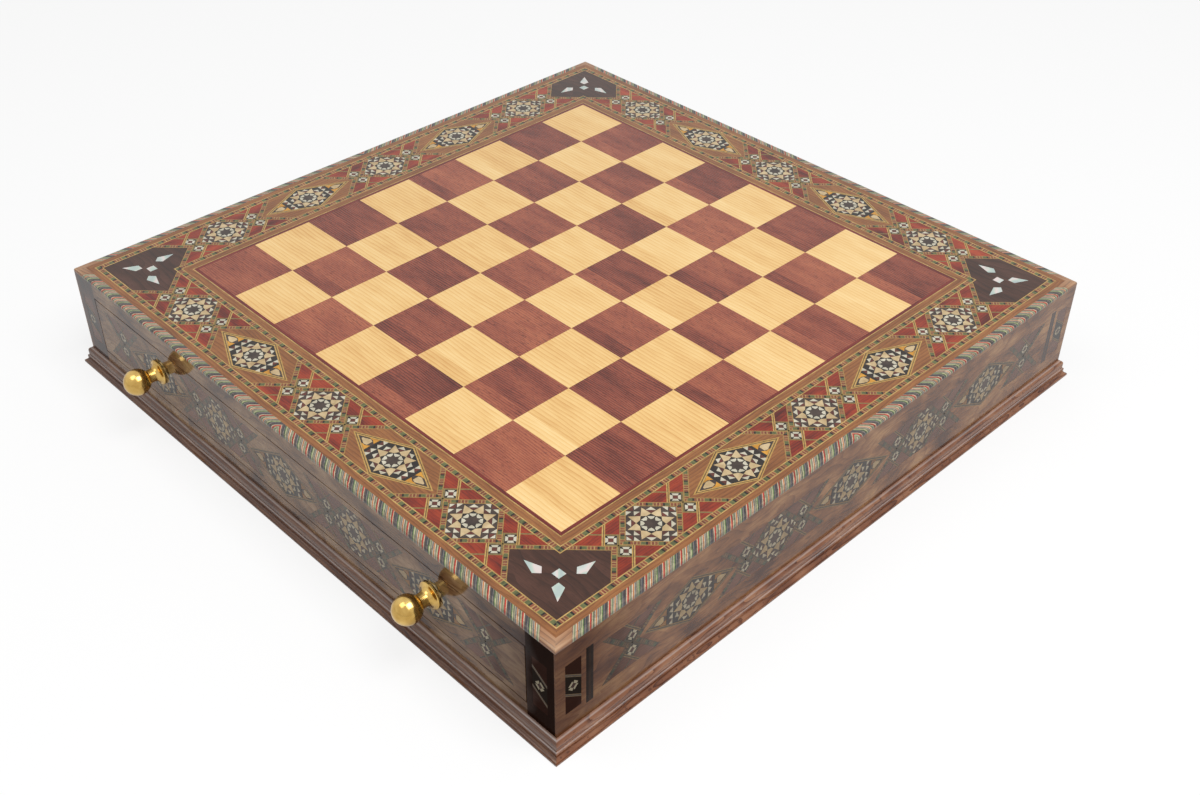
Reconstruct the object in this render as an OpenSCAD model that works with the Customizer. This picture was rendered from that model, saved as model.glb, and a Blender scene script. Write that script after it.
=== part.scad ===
// Chess box with drawers: an inlaid playing board on a low carcass, a drawer on
// the front for one player and one on the back for the other.
// Millimetres. The origin is the middle of the foot, +Z is up, the front is -Y.

/* [Playing field] */
// Side of one playing square
square_size = 40; // [36:1:48]
// Thickness of every veneer, line and inlay
veneer_t = 1; // [0.8:0.1:1.5]
// Thickness of the panel that carries the playing field
top_panel_t = 8; // [6:0.5:9]
// Width of the joint between two playing squares
square_joint = 0.04; // [0.02:0.01:0.1]

/* [Borders, from the field outwards] */
// Width of the red line round the field
red_line_w = 2; // [1:0.1:3]
// Width of each pale line
pale_line_w = 0.6; // [0.4:0.1:1]
// Width of the walnut band next to the field
inner_band_w = 4.2; // [3:0.1:6]
// Width of the mosaic strips that run along the star band
mosaic_w = 2.6; // [2:0.1:4]
// Width of the star band
band_w = 30; // [27:0.5:32]
// Width of the walnut band at the edge
outer_band_w = 3.8; // [3:0.1:8]
// Width of the striped edging
edging_w = 5.3; // [5:0.1:8]
// Height of the striped edging
edging_h = 2.7; // [2.2:0.1:4]
// Radius of the edging's outer edge
edging_r = 2; // [1:0.1:2.1]
// Length of the plain corner pieces, measured on the outer edge
edge_corner_l = 10; // [8.5:0.5:16]

/* [Star band] */
// Half diagonal of the tile with the eight-pointed star
star_reach = 17.4; // [16.5:0.1:19]
// Width of the slanting mosaic strips
strip_w = 3; // [2:0.1:3.4]
// Half of the gap between two strips where they meet
pair_web = 0.6; // [0.4:0.1:1]
// Width of the joint between a slanting strip and the lines beside it
strip_joint = 0.03; // [0.02:0.01:0.1]
// Half diagonal of a small star square
small_star_r = 4.4; // [3.5:0.1:4.8]
// Width of the lines round the small star squares
small_line_w = 0.9; // [0.5:0.1:1.1]
// Gap from a lozenge's tip to the strips
lozenge_gap = 2.5; // [1:0.1:5]
// Plain walnut beyond each end of the row on a drawer front
row_margin = 8.2; // [6:0.1:10]
// Width of the line round a lozenge
lozenge_line_w = 1.2; // [0.6:0.1:1.6]
// How far a lozenge's blunt tips are cut off by the band's edges
lozenge_cut = 0.4; // [0.2:0.1:0.8]
// Width of a corner panel at the band's inner corner
corner_waist = 3.8; // [2:0.1:8]
// Radius of an eight-pointed star at the tips of its bone kites
star_r = 11.9; // [10:0.1:12.2]
// Radius at which two neighbouring kites come closest
kite_shoulder_r = 7.2; // [6.4:0.1:7.6]
// Radius at which the kites start
kite_start_r = 5.9; // [5.6:0.1:6.2]
// Gap between two neighbouring kites
kite_gap = 0.4; // [0.2:0.1:0.6]
// Outer radius of the bone ring inside the kites
ring_out_r = 5.2; // [4.6:0.1:5.4]
// Radius of the ebony star's tips inside the ring
ring_in_r = 3.4; // [3:0.1:4]
// Half diagonal of the bone ring in a small star
small_ring_out = 3.3; // [2.9:0.1:3.4]
// Half diagonal of the ebony diamond inside that ring
small_ring_in = 1.8; // [1:0.1:2.2]
// Length of a mother-of-pearl kite
pearl_l = 12.3; // [8:0.1:14]
// Width of a mother-of-pearl kite
pearl_w = 6.2; // [4:0.1:7]
// Distance from a kite's blunt end to its widest place
pearl_shoulder = 3.2; // [2:0.1:4]
// Side of the square mother-of-pearl piece
pearl_square = 4.8; // [3:0.1:6]

/* [Carcass] */
// Height of the whole box
total_h = 70; // [66:1:90]
// Thickness of the walls, with their veneer
wall_t = 10; // [8:0.5:12]
// Width of the stiles beside the drawers
stile_w = 20; // [17:0.5:26]
// Height of the face above a drawer, with the edging
top_face_h = 12.7; // [12:0.1:16]
// Height of the rail that shows under a drawer
bottom_face_h = 7.5; // [4:0.1:10]
// Thickness of the partition between the drawers
partition_t = 10; // [6:0.5:16]
// Thickness of the bottom board above the ledge
floor_t = 4; // [3:0.5:6]
// Thickness of the baize under the bottom board
baize_t = 1; // [0.6:0.1:2]
// Length of the tenons on the drawer rails
tenon_l = 6; // [4:0.5:8]
// Thickness of the tenons on the drawer rails
tenon_t = 4; // [3:0.5:5]
// Clearance round a tenon or a dovetail
joint_fit = 0.1; // [0.05:0.05:0.2]

/* [Base moulding] */
// Height of the moulding
moulding_h = 11.2; // [10:0.1:16]
// How far the foot stands out from the walls
moulding_out = 5.4; // [4.5:0.1:6.6]
// Radius of the bead along the moulding's top
bead_r = 2.6; // [2.2:0.1:3]
// Width of the rounded step under the bead
step_w = 0.8; // [0.4:0.1:1.1]
// Height of the ledge that the walls stand on
ledge_h = 6; // [4:0.5:8]
// Width of the ledge inside the walls
ledge_w = 10; // [6:0.5:14]
// Height of the foot's straight lower edge
toe_h = 1.2; // [0.5:0.1:2]
// Height from the toe to the top of the step, with the hollow
cove_h = 4.4; // [4:0.1:5]

/* [Face inlays] */
// How far the inlaid row on the side walls sits above their middle
side_row_rise = -0.4; // [-1.5:0.1:1.5]
// Width of the small panel on each stile and wall end
end_panel_w = 10; // [9:0.1:13]
// Height of the small panel
end_panel_h = 32.5; // [28:0.1:36]
// Distance from the panel's middle to the corner of the wall
end_panel_in = 10.8; // [9:0.1:12]
// Height of the piece with the small star in that panel
end_star_h = 11.4; // [9:0.1:13]
// How far that piece's slanting edges drop across the panel
end_drop = 7.2; // [4:0.1:10]
// Height of the slanting lines above and below it
end_slant_h = 1.8; // [1:0.1:2.4]
// Width of the upright line beside the small panel
end_line_w = 4.6; // [1:0.1:5.4]
// Height of that line
end_line_h = 37; // [32:0.5:38]
// Distance from the line's middle to the corner of the wall
end_line_in = 21.1; // [20:0.1:23]

/* [Drawers] */
// Gap round a drawer front
drawer_gap = 0.6; // [0.4:0.1:1.2]
// Thickness of a drawer front, with its veneer
drawer_front_t = 14; // [12:0.5:18]
// Thickness of the drawer sides
drawer_side_t = 8; // [6:0.5:10]
// Thickness of the drawer back
drawer_back_t = 8; // [6:0.5:10]
// Thickness of the drawer bottom
drawer_bottom_t = 3; // [2:0.5:4]
// Height of the groove for the bottom above the drawer's lower edge
groove_up = 3.4; // [3:0.1:5]
// Depth of that groove
groove_d = 4; // [3:0.5:5]
// How far a drawer side lies below the top of the front
side_drop = 3; // [2:0.5:6]
// How far the drawer back lies below the top of the sides
back_drop = 2; // [1:0.5:5]
// Running clearance under and beside the drawer sides
run_gap = 0.3; // [0.2:0.05:0.5]
// Width of the runners under the drawer sides
runner_w = 22; // [20:0.5:28]
// Length of the stop blocks behind a drawer
stop_l = 12; // [8:0.5:20]
// Width of a stop block
stop_w = 24; // [16:1:40]
// Height of a stop block
stop_h = 22; // [12:1:26]
// Width of a dovetail where it is narrow
tail_w = 7; // [5:0.5:8]
// How much wider a dovetail gets on each side
tail_flare = 1; // [0.5:0.1:1.5]
// Dovetails at each corner of a drawer
tails = 2; // [1:1:2]

/* [Compartments] */
// Compartments side by side in a drawer
columns = 8; // [7:1:10]
// Thickness of the dividers
divider_t = 3; // [2:0.5:4]
// Height of the dividers
divider_h = 22; // [14:1:24]
// Thickness of the velvet lining
lining_t = 1.2; // [0.8:0.1:2]

/* [Knobs] */
// Diameter of the ball
ball_d = 15.8; // [12:0.2:18]
// Distance from the drawer front to the ball's middle
ball_out = 14.5; // [13:0.1:18]
// Diameter of the neck
neck_d = 8; // [6.5:0.1:9]
// Diameter of the foot plate
flange_d = 15.4; // [12:0.1:18]
// Thickness of the foot plate's rim
flange_t = 1.4; // [1:0.1:2]
// Diameter of the knob screw
screw_d = 4; // [3:0.5:5]
// Diameter of the screw head
screw_head_d = 7.6; // [6:0.1:9]
// Height of the screw head
screw_head_h = 2.4; // [1.8:0.1:3]
// Depth of the screw in the knob
screw_grip = 9; // [6:0.5:10]
// Clearance round the screw
screw_fit = 0.05; // [0.02:0.01:0.1]
// How far the knobs sit above the middle of the drawer front
knob_rise = 1.5; // [0:0.1:3]

/* [Hidden] */
$fn = 64;

// Colours
pine_c = [0.92, 0.78, 0.52];
padauk_c = [0.50, 0.20, 0.13];
walnut_c = [0.55, 0.36, 0.22];
dark_walnut_c = [0.33, 0.22, 0.17];
gold_c = [0.78, 0.62, 0.30];
olive_c = [0.50, 0.48, 0.22];
ebony_c = [0.18, 0.18, 0.22];
bone_c = [0.93, 0.90, 0.82];
pearl_c = [0.90, 0.92, 0.90];
rosewood_c = [0.38, 0.18, 0.13];
beech_c = [0.80, 0.66, 0.48];
velvet_c = [0.45, 0.06, 0.10];
baize_c = [0.10, 0.30, 0.18];
brass_c = [0.85, 0.68, 0.30];
steel_c = [0.70, 0.70, 0.70];
plain_edge_c = [0.72, 0.52, 0.36];

// How far a cutting shape runs past what it cuts
cut_over = 1;
// Length along the band for each unit along a 45 degree slant's square
slant_ratio = sqrt(2);
// How much deeper the knob's bore is than its screw
bore_spare = 0.5;

// Half widths of the rings on the board, from the field outwards
field_half = 4 * square_size;
red_half = field_half + red_line_w;
line_1_half = red_half + pale_line_w;
inner_band_half = line_1_half + inner_band_w;
line_2_half = inner_band_half + pale_line_w;
inner_mosaic_half = line_2_half + mosaic_w;
band_in = inner_mosaic_half + pale_line_w;
band_out = band_in + band_w;
line_4_half = band_out + pale_line_w;
outer_mosaic_half = line_4_half + mosaic_w;
line_5_half = outer_mosaic_half + pale_line_w;
outer_band_half = line_5_half + outer_band_w;
half_w = outer_band_half + edging_w;

// Layout of the star band. Along the band the panels change between a star
// square and a lozenge, and two small stars fill each gap between panels.
half_band = band_w / 2;
band_mid = band_in + half_band;
strip_d = strip_w * slant_ratio;
square_end = star_reach + strip_d;
pair_from_square = square_end + pair_web;
last_pair = band_in - half_band - strip_d - pair_web - corner_waist;
pitch = (last_pair - pair_from_square) / 2;
lozenge_end = pitch - pair_from_square - pair_web;
lozenge_half = half_band + lozenge_cut;
corner_apex = last_pair + pair_web + strip_d;

// Heights
board_top = total_h;
veneer_low = board_top - veneer_t;
edging_low = board_top - edging_h;
panel_low = veneer_low - top_panel_t;
opening_top = total_h - top_face_h;
opening_low = moulding_h + bottom_face_h;
floor_top = ledge_h + floor_t;
side_row_z = (moulding_h + edging_low) / 2 + side_row_rise;
drawer_row_z = (opening_low + opening_top) / 2;

// Carcass
inner_half = half_w - wall_t;
opening_half = half_w - stile_w;
core_out = half_w - veneer_t;
frame_half = inner_half - ledge_w;
end_panel_x = half_w - end_panel_in;
end_line_x = half_w - end_line_in;

// Drawers
face_half = opening_half - drawer_gap;
row_pitch = (face_half - row_margin - half_band + star_reach) / 3;
row_pair = row_pitch - pair_from_square;
row_lozenge_end = row_pair - pair_web;
face_low = opening_low + drawer_gap;
face_top = opening_top - drawer_gap;
face_back = half_w - drawer_front_t;
drawer_end = partition_t / 2 + stop_l;
side_low = opening_low + run_gap;
side_top = face_top - side_drop;
bottom_low = side_low + groove_up;
bottom_top = bottom_low + drawer_bottom_t;
box_half = face_half - drawer_side_t;
back_face = drawer_end + drawer_back_t;
back_top = side_top - back_drop;
lining_top = bottom_top + lining_t;
stop_end = drawer_end - run_gap;
knob_x = 2 * row_pitch;
knob_z = drawer_row_z + knob_rise;

// ---------------------------------------------------------------- helpers

// A child copied to the four sides of the board
module four_sides() {
    for (turn = [0 : 90 : 270]) rotate(turn) children();
}

// A child copied to the four quarters, by mirrors
module four_quarters() {
    for (sx = [0, 1], sy = [0, 1])
        mirror([sx, 0, 0]) mirror([0, sy, 0]) children();
}

// A child copied to the left and to the right
module both_ends() {
    for (sx = [0, 1]) mirror([sx, 0, 0]) children();
}

// One veneer piece on the board, from its outline
module on_board() {
    translate([0, 0, veneer_low]) linear_extrude(veneer_t) children();
}

// Four mitred lengths that make a ring between two half widths
module ring_lengths(inner, outer) {
    four_sides()
        polygon([[-inner, -inner], [inner, -inner], [outer, -outer], [-outer, -outer]]);
}

// A wall's outline is drawn along X and up Y, and stands on the front at -Y
module on_front(depth = veneer_t, z = 0) {
    translate([0, -half_w + depth, z]) rotate([90, 0, 0])
        linear_extrude(depth) children();
}

// The same outline on the right-hand wall
module on_right(depth = veneer_t, z = 0) {
    rotate(90) on_front(depth, z) children();
}

// A slab that runs past both faces of what it cuts
module cutting_slab(low, height) {
    translate([0, 0, low - cut_over]) linear_extrude(height + 2 * cut_over) children();
}

// A box from its two far corners
module block(low, high) {
    translate(low) cube(high - low);
}

// ------------------------------------------------- outlines of the star band
// These lie with the band's middle on Y = 0 and the piece's own middle at X = 0.

function diamond(r) = [[r, 0], [0, r], [-r, 0], [0, -r]];

// The lines between the small stars run at 45 degrees, so their corners are
// written as distances a and b along the two slants.
function slant(a, b) = [(a - b) / 2, (a + b) / 2];
module slant_piece(corners) {
    polygon([for (c = corners) slant(c[0], c[1])]);
}

// An eight-pointed star of bone. Its first kite points along X, and a ring
// round an ebony star lies inside the kites.
kite_half = 22.5;
module bone_kites() {
    for (turn = [0 : 45 : 315]) rotate(turn) {
        shoulder = kite_shoulder_r * cos(kite_half);
        half_w = kite_shoulder_r * sin(kite_half) - kite_gap / 2;
        polygon([[kite_start_r, 0], [shoulder, half_w], [star_r, 0], [shoulder, -half_w]]);
    }
}

module bone_ring() {
    difference() {
        rotate(kite_half) circle(ring_out_r, $fn = 8);
        polygon([for (i = [0 : 15])
            (i % 2 == 0 ? ring_in_r : 0.86 * ring_in_r) * [cos(i * 22.5), sin(i * 22.5)]]);
    }
}

module bone_star(turn) {
    rotate(turn) {
        bone_kites();
        bone_ring();
    }
}

// The tile of a star square, cut by the band's edges
module star_tile() {
    difference() {
        intersection() {
            polygon(diamond(star_reach));
            square([2 * star_reach, band_w], center = true);
        }
        bone_star(kite_half);
    }
}

// The four slanting strips round a panel that ends at `end`
module panel_strips(end) {
    four_quarters()
        polygon([[end - strip_d, 0], [end, 0],
                 [end - half_band, half_band], [end - strip_d - half_band, half_band]]);
}

// Half length of a lozenge, from that of its panel with its strips
function lozenge_tip(end) = end - strip_d - lozenge_gap;

// A lozenge inside a line of this width, with its blunt tips cut by the band's edges
module lozenge(end, line = 0) {
    lean = atan2(lozenge_half, lozenge_tip(end));
    tip = lozenge_tip(end) - line / sin(lean);
    side = lozenge_half - line / cos(lean);
    intersection() {
        polygon([[tip, 0], [0, side], [-tip, 0], [0, -side]]);
        square([2 * tip, band_w], center = true);
    }
}

module lozenge_tile(end) {
    difference() {
        lozenge(end, lozenge_line_w);
        bone_star(0);
    }
}

module lozenge_lines(end) {
    difference() {
        lozenge(end);
        lozenge(end, lozenge_line_w);
    }
}

// The walnut pieces between a lozenge and its strips
module lozenge_grounds(end) {
    zone = end - strip_d;
    difference() {
        two_halves()
            polygon([[-zone, 0], [zone, 0], [zone - half_band, half_band],
                     [half_band - zone, half_band]]);
        lozenge(end);
    }
}

// Slants at which a small star square starts and ends. Its middle lies one web
// and one line further out than its half diagonal.
slant_low = strip_joint - pair_web;
star_low = slant_low + small_line_w * slant_ratio;
star_high = star_low + 2 * small_star_r;
line_high = star_high + small_line_w * slant_ratio;
slant_edge = 2 * half_band;

// The pair's pieces on the upper half of the band; two_halves() adds the lower
module two_halves() {
    for (sy = [0, 1]) mirror([0, sy, 0]) children();
}

// The upper small star's middle lies this far from the band's middle
small_star_v = star_low + small_star_r;

module small_ring() {
    difference() {
        polygon(diamond(small_ring_out));
        polygon(diamond(small_ring_in));
    }
}

module small_stars() {
    two_halves() translate([0, small_star_v]) difference() {
        polygon(diamond(small_star_r));
        small_ring();
    }
}

module small_star_rings() {
    two_halves() translate([0, small_star_v]) small_ring();
}

module padauk_pieces() {
    two_halves() {
        both_ends()
            slant_piece([[slant_low, line_high], [star_high, line_high],
                         [star_high, slant_edge - star_high],
                         [slant_low, slant_edge - slant_low]]);
        slant_piece([[line_high, line_high], [slant_edge - line_high, line_high],
                     [line_high, slant_edge - line_high]]);
    }
}

module pair_lines() {
    two_halves() {
        slant_piece([[slant_low, star_high], [slant_edge - star_high, star_high],
                     [slant_edge - line_high, line_high], [slant_low, line_high]]);
        slant_piece([[star_high, slant_low], [line_high, slant_low],
                     [line_high, star_high], [star_high, star_high]]);
        slant_piece([[star_high, line_high], [line_high, line_high],
                     [line_high, slant_edge - line_high],
                     [star_high, slant_edge - star_high]]);
        slant_piece([[slant_low, slant_low], [star_low, slant_low],
                     [star_low, star_high], [slant_low, star_high]]);
        slant_piece([[star_low, slant_low], [star_high, slant_low],
                     [star_high, star_low], [star_low, star_low]]);
    }
}

// ------------------------------------------------------- places along the band

// On the board the middle panel is a star square
module top_squares() {
    four_sides() for (i = [-1 : 1]) translate([2 * i * pitch, -band_mid]) children();
}

module top_lozenges() {
    four_sides() for (i = [-1, 1]) translate([i * pitch, -band_mid]) children();
}

module top_pairs() {
    four_sides() both_ends()
        for (x = [pair_from_square, 2 * pitch - pair_from_square, last_pair])
            translate([x, -band_mid]) children();
}

// On the walls and the drawers the middle panel is a lozenge
module row_squares() {
    for (i = [-1, 1]) translate([i * row_pitch, 0]) children();
}

module row_lozenges() {
    for (i = [-1 : 1]) translate([2 * i * row_pitch, 0]) children();
}

module row_pairs() {
    both_ends()
        for (x = [row_pair, 2 * row_pitch - row_pair, 2 * row_pitch + row_pair])
            translate([x, 0]) children();
}

// The strips that close the row at each end
module row_end_strips() {
    both_ends() translate([2 * row_pitch + row_pair + pair_web, 0]) two_halves()
        polygon([[0, 0], [strip_d, 0], [strip_d + half_band, half_band],
                 [half_band, half_band]]);
}

// All openings that the row needs in a veneer: the star squares with the pairs
// beside them, the lozenges, and the pairs that close the row
module row_openings() {
    square_reach = pair_from_square + pair_web + strip_d;
    end_pair = 2 * row_pitch + row_pair;
    row_squares() two_halves()
        polygon([[-square_reach, 0], [square_reach, 0],
                 [square_reach + half_band, half_band], [-square_reach - half_band, half_band]]);
    row_lozenges() lozenge(row_lozenge_end);
    both_ends() translate([end_pair, 0]) two_halves()
        polygon([[-strip_d - pair_web, 0], [strip_d + pair_web, 0],
                 [strip_d + pair_web + half_band, half_band],
                 [-strip_d - pair_web - half_band, half_band]]);
}

// ---------------------------------------------------------------- the board

// Panel under the board. Its upper part is wider and rests on the walls.
module top_core() {
    color(beech_c) {
        block([-inner_half, -inner_half, panel_low], [inner_half, inner_half, edging_low]);
        block([-outer_band_half, -outer_band_half, edging_low],
              [outer_band_half, outer_band_half, veneer_low]);
    }
}

// Squares of one colour; the one at the front right corner is light
module field_squares(light) {
    for (i = [0 : 7], j = [0 : 7])
        if (((i + j) % 2 == 1) == light)
            translate([i * square_size - field_half + square_joint / 2,
                       j * square_size - field_half + square_joint / 2])
                square(square_size - square_joint);
}

module light_squares() {
    color(pine_c) on_board() field_squares(true);
}

module dark_squares() {
    color(padauk_c) on_board() field_squares(false);
}

module field_red_line() {
    color(rosewood_c) on_board() ring_lengths(field_half, red_half);
}

module top_pale_lines() {
    color(pine_c) on_board() {
        ring_lengths(red_half, line_1_half);
        ring_lengths(inner_band_half, line_2_half);
        ring_lengths(inner_mosaic_half, band_in);
        ring_lengths(band_out, line_4_half);
        ring_lengths(outer_mosaic_half, line_5_half);
    }
}

module top_star_lines() {
    color(gold_c) on_board() {
        top_lozenges() lozenge_lines(lozenge_end);
        top_pairs() pair_lines();
    }
}

module top_walnut() {
    color(walnut_c) on_board() {
        ring_lengths(line_1_half, inner_band_half);
        ring_lengths(line_5_half, outer_band_half);
        top_lozenges() lozenge_grounds(lozenge_end);
    }
}

module top_mosaic_strips() {
    color(olive_c) on_board() {
        ring_lengths(line_2_half, inner_mosaic_half);
        ring_lengths(line_4_half, outer_mosaic_half);
    }
}

// Outline of one mother-of-pearl kite, blunt end at the origin, tip along +X
module pearl_kite() {
    polygon([[0, 0], [pearl_shoulder, pearl_w / 2], [pearl_l, 0],
             [pearl_shoulder, -pearl_w / 2]]);
}

// The four pearls of one corner panel: a square, and kites to three sides
pearl_spread = 1.7;
module corner_pearls() {
    mid = band_in + half_band * 0.62;
    translate([mid, mid]) square(pearl_square, center = true);
    translate([mid + pearl_square / 2 + pearl_spread, mid + pearl_square / 2 + pearl_spread])
        rotate(45) pearl_kite();
    translate([band_mid, mid - pearl_square / 2 - 2 * pearl_spread]) rotate(-90) pearl_kite();
    translate([mid - pearl_square / 2 - 2 * pearl_spread, band_mid]) rotate(180) pearl_kite();
}

module corner_panel_outline() {
    polygon([[corner_apex, band_mid], [corner_apex + half_band, band_in],
             [band_in, band_in], [band_in, corner_apex + half_band],
             [band_mid, corner_apex], [band_out, corner_apex + half_band],
             [band_out, band_out], [corner_apex + half_band, band_out]]);
}

module top_corner_panels() {
    color(dark_walnut_c) on_board() four_sides() difference() {
        corner_panel_outline();
        corner_pearls();
    }
}

module top_pearl() {
    color(pearl_c) on_board() four_sides() corner_pearls();
}

module top_star_tiles() {
    color(ebony_c) on_board() {
        top_squares() star_tile();
        top_lozenges() lozenge_tile(lozenge_end);
        top_pairs() small_stars();
    }
}

module top_bone_stars() {
    color(bone_c) on_board() {
        top_squares() bone_star(kite_half);
        top_lozenges() bone_star(0);
        top_pairs() small_star_rings();
    }
}

module top_slanting_strips() {
    color(olive_c) on_board() {
        top_squares() panel_strips(square_end);
        top_lozenges() panel_strips(lozenge_end);
        four_sides() both_ends() translate([last_pair + pair_web, -band_mid]) two_halves()
            polygon([[0, 0], [strip_d, 0], [strip_d + half_band, half_band],
                     [half_band, half_band]]);
    }
}

module top_padauk() {
    color(padauk_c) on_board() top_pairs() padauk_pieces();
}

// Section of the edging: X outwards from the walnut band, Y up
module edging_section() {
    square([edging_w - edging_r, edging_h]);
    square([edging_w, edging_h - edging_r]);
    intersection() {
        translate([edging_w - edging_r, edging_h - edging_r]) circle(edging_r);
        square([edging_w, edging_h]);
    }
}

// The edging's whole frame, mitred at the corners
module edging_frame() {
    four_sides() intersection() {
        translate([-half_w, -outer_band_half, edging_low]) rotate([90, 0, 90])
            mirror([1, 0]) linear_extrude(2 * half_w) edging_section();
        cutting_slab(edging_low, edging_h)
            polygon([[0, 0], [half_w + cut_over, -half_w - cut_over],
                     [-half_w - cut_over, -half_w - cut_over]]);
    }
}

// The slanting cut at each end of a striped length follows its stripes
module striped_zone() {
    reach = half_w - edge_corner_l;
    four_sides()
        polygon([[0, 0], [reach - edging_w, cut_over - outer_band_half],
                 [reach - edging_w, -outer_band_half], [reach, -half_w],
                 [reach, -half_w - cut_over], [-reach, -half_w - cut_over],
                 [-reach, -half_w], [edging_w - reach, -outer_band_half],
                 [edging_w - reach, cut_over - outer_band_half]]);
}

module striped_edging() {
    color(olive_c) intersection() {
        edging_frame();
        cutting_slab(edging_low, edging_h) striped_zone();
    }
}

module edge_corners() {
    color(plain_edge_c) difference() {
        edging_frame();
        cutting_slab(edging_low, edging_h) striped_zone();
    }
}

// ---------------------------------------------------------------- carcass

// Cores of the side walls, between the front and the back stiles
module side_walls() {
    color(beech_c) both_ends()
        block([inner_half, -inner_half, ledge_h], [core_out, inner_half, edging_low]);
}

// Small upright panel near the ends of a wall: a piece with a small star between
// two slanting lines, and padauk above and below. It is never mirrored, so its
// lines drop to the right at both ends of each wall.
module end_panel_places() {
    for (s = [-1, 1]) translate([s * end_panel_x, 0]) children();
}

module end_panel_opening() {
    square([end_panel_w, end_panel_h], center = true);
}

// A slanting piece across the panel, from one height to another
module end_slant(low, high) {
    fall = end_drop / 2;
    polygon([[-end_panel_w / 2, low + fall], [end_panel_w / 2, low - fall],
             [end_panel_w / 2, high - fall], [-end_panel_w / 2, high + fall]]);
}

module end_panel_star() {
    difference() {
        end_slant(-end_star_h / 2, end_star_h / 2);
        small_ring();
    }
}

module end_panel_lines() {
    for (turn = [0, 180]) rotate(turn)
        end_slant(end_star_h / 2, end_star_h / 2 + end_slant_h);
}

module end_panel_padauk() {
    low = end_star_h / 2 + end_slant_h;
    for (turn = [0, 180]) rotate(turn)
        polygon([[-end_panel_w / 2, low + end_drop / 2], [end_panel_w / 2, low - end_drop / 2],
                 [end_panel_w / 2, end_panel_h / 2], [-end_panel_w / 2, end_panel_h / 2]]);
}

// Upright dark lines on the side walls, in line with the drawers' ends
module end_lines() {
    both_ends() translate([end_line_x, 0])
        square([end_line_w, end_line_h], center = true);
}

module wall_veneer() {
    difference() {
        on_right() translate([-half_w, ledge_h]) square([2 * half_w, edging_low - ledge_h]);
        on_right(veneer_t, side_row_z) {
            row_openings();
            end_panel_places() end_panel_opening();
            end_lines();
        }
    }
}

module side_veneers() { color(dark_walnut_c) both_ends() wall_veneer(); }

module on_both_sides() {
    for (turn = [0, 180]) rotate(turn) on_right(veneer_t, side_row_z) children();
}

// The same panel on the front and back faces of the stiles
module on_stiles() {
    for (turn = [0, 180]) rotate(turn) on_front(veneer_t, drawer_row_z)
        end_panel_places() children();
}

module side_star_tiles() {
    color(ebony_c) {
        on_both_sides() {
            row_squares() star_tile();
            row_lozenges() lozenge_tile(row_lozenge_end);
            row_pairs() small_stars();
            end_panel_places() end_panel_star();
        }
        on_stiles() end_panel_star();
    }
}

module side_bone_stars() {
    color(bone_c) {
        on_both_sides() {
            row_squares() bone_star(kite_half);
            row_lozenges() bone_star(0);
            row_pairs() small_star_rings();
            end_panel_places() small_ring();
        }
        on_stiles() small_ring();
    }
}

module side_slanting_strips() {
    color(olive_c) on_both_sides() {
        row_squares() panel_strips(square_end);
        row_lozenges() panel_strips(row_lozenge_end);
        row_end_strips();
    }
}

module side_padauk() {
    color(padauk_c) {
        on_both_sides() {
            row_pairs() padauk_pieces();
            end_panel_places() end_panel_padauk();
        }
        on_stiles() end_panel_padauk();
    }
}

module side_lines() {
    color(gold_c) {
        on_both_sides() {
            row_pairs() pair_lines();
            row_lozenges() lozenge_lines(row_lozenge_end);
            end_panel_places() end_panel_lines();
            end_lines();
        }
        on_stiles() end_panel_lines();
    }
}

// Tenons at the ends of the drawer rails
top_tenon_h = (edging_low - opening_top) * 0.5;
bottom_tenon_h = (opening_low - ledge_h) * 0.5;
module rail_tenons(z_mid, height, fit = 0) {
    y_mid = half_w - wall_t / 2;
    both_ends()
        block([opening_half - cut_over, -y_mid - tenon_t / 2 - fit, z_mid - height / 2 - fit],
              [opening_half + tenon_l + fit, -y_mid + tenon_t / 2 + fit,
               z_mid + height / 2 + fit]);
}

module front_and_back() {
    for (turn = [0, 180]) rotate(turn) children();
}

// Upright corner pieces, mortised for the rails, and cut for the small panels
module corner_stiles() {
    color(dark_walnut_c) difference() {
        four_quarters()
            block([opening_half, inner_half, ledge_h], [core_out, half_w, edging_low]);
        front_and_back() {
            rail_tenons((edging_low + opening_top) / 2, top_tenon_h, joint_fit);
            rail_tenons((opening_low + ledge_h) / 2, bottom_tenon_h, joint_fit);
        }
        on_stiles() end_panel_opening();
    }
}

module rail(z_low, z_high, tenon_h) {
    front_and_back() union() {
        block([-opening_half, -half_w, z_low], [opening_half, -inner_half, z_high]);
        rail_tenons((z_low + z_high) / 2, tenon_h);
    }
}

module top_rails() { color(dark_walnut_c) rail(opening_top, edging_low, top_tenon_h); }
module bottom_rails() { color(dark_walnut_c) rail(ledge_h, opening_low, bottom_tenon_h); }

// Wall between the two drawers
module partition() {
    color(beech_c)
        block([-inner_half, -partition_t / 2, floor_top],
              [inner_half, partition_t / 2, panel_low]);
}

// A strip along each drawer side, from the rail to the partition
module drawer_strips(x_low, x_high, z_low, z_high) {
    four_quarters()
        block([x_low, partition_t / 2, z_low], [x_high, inner_half, z_high]);
}

module drawer_runners() {
    color(beech_c) drawer_strips(inner_half - runner_w, inner_half, floor_top, opening_low);
}

module drawer_guides() {
    color(beech_c)
        drawer_strips(face_half + run_gap, inner_half, opening_low, opening_top);
}

module drawer_kickers() {
    color(beech_c) drawer_strips(inner_half - runner_w, inner_half, opening_top, panel_low);
}

// Blocks on the partition that stop a drawer when its front is flush
module drawer_stops() {
    color(beech_c) four_quarters()
        block([knob_x, partition_t / 2, bottom_top], [knob_x + stop_w, stop_end, bottom_top + stop_h]);
}

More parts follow.
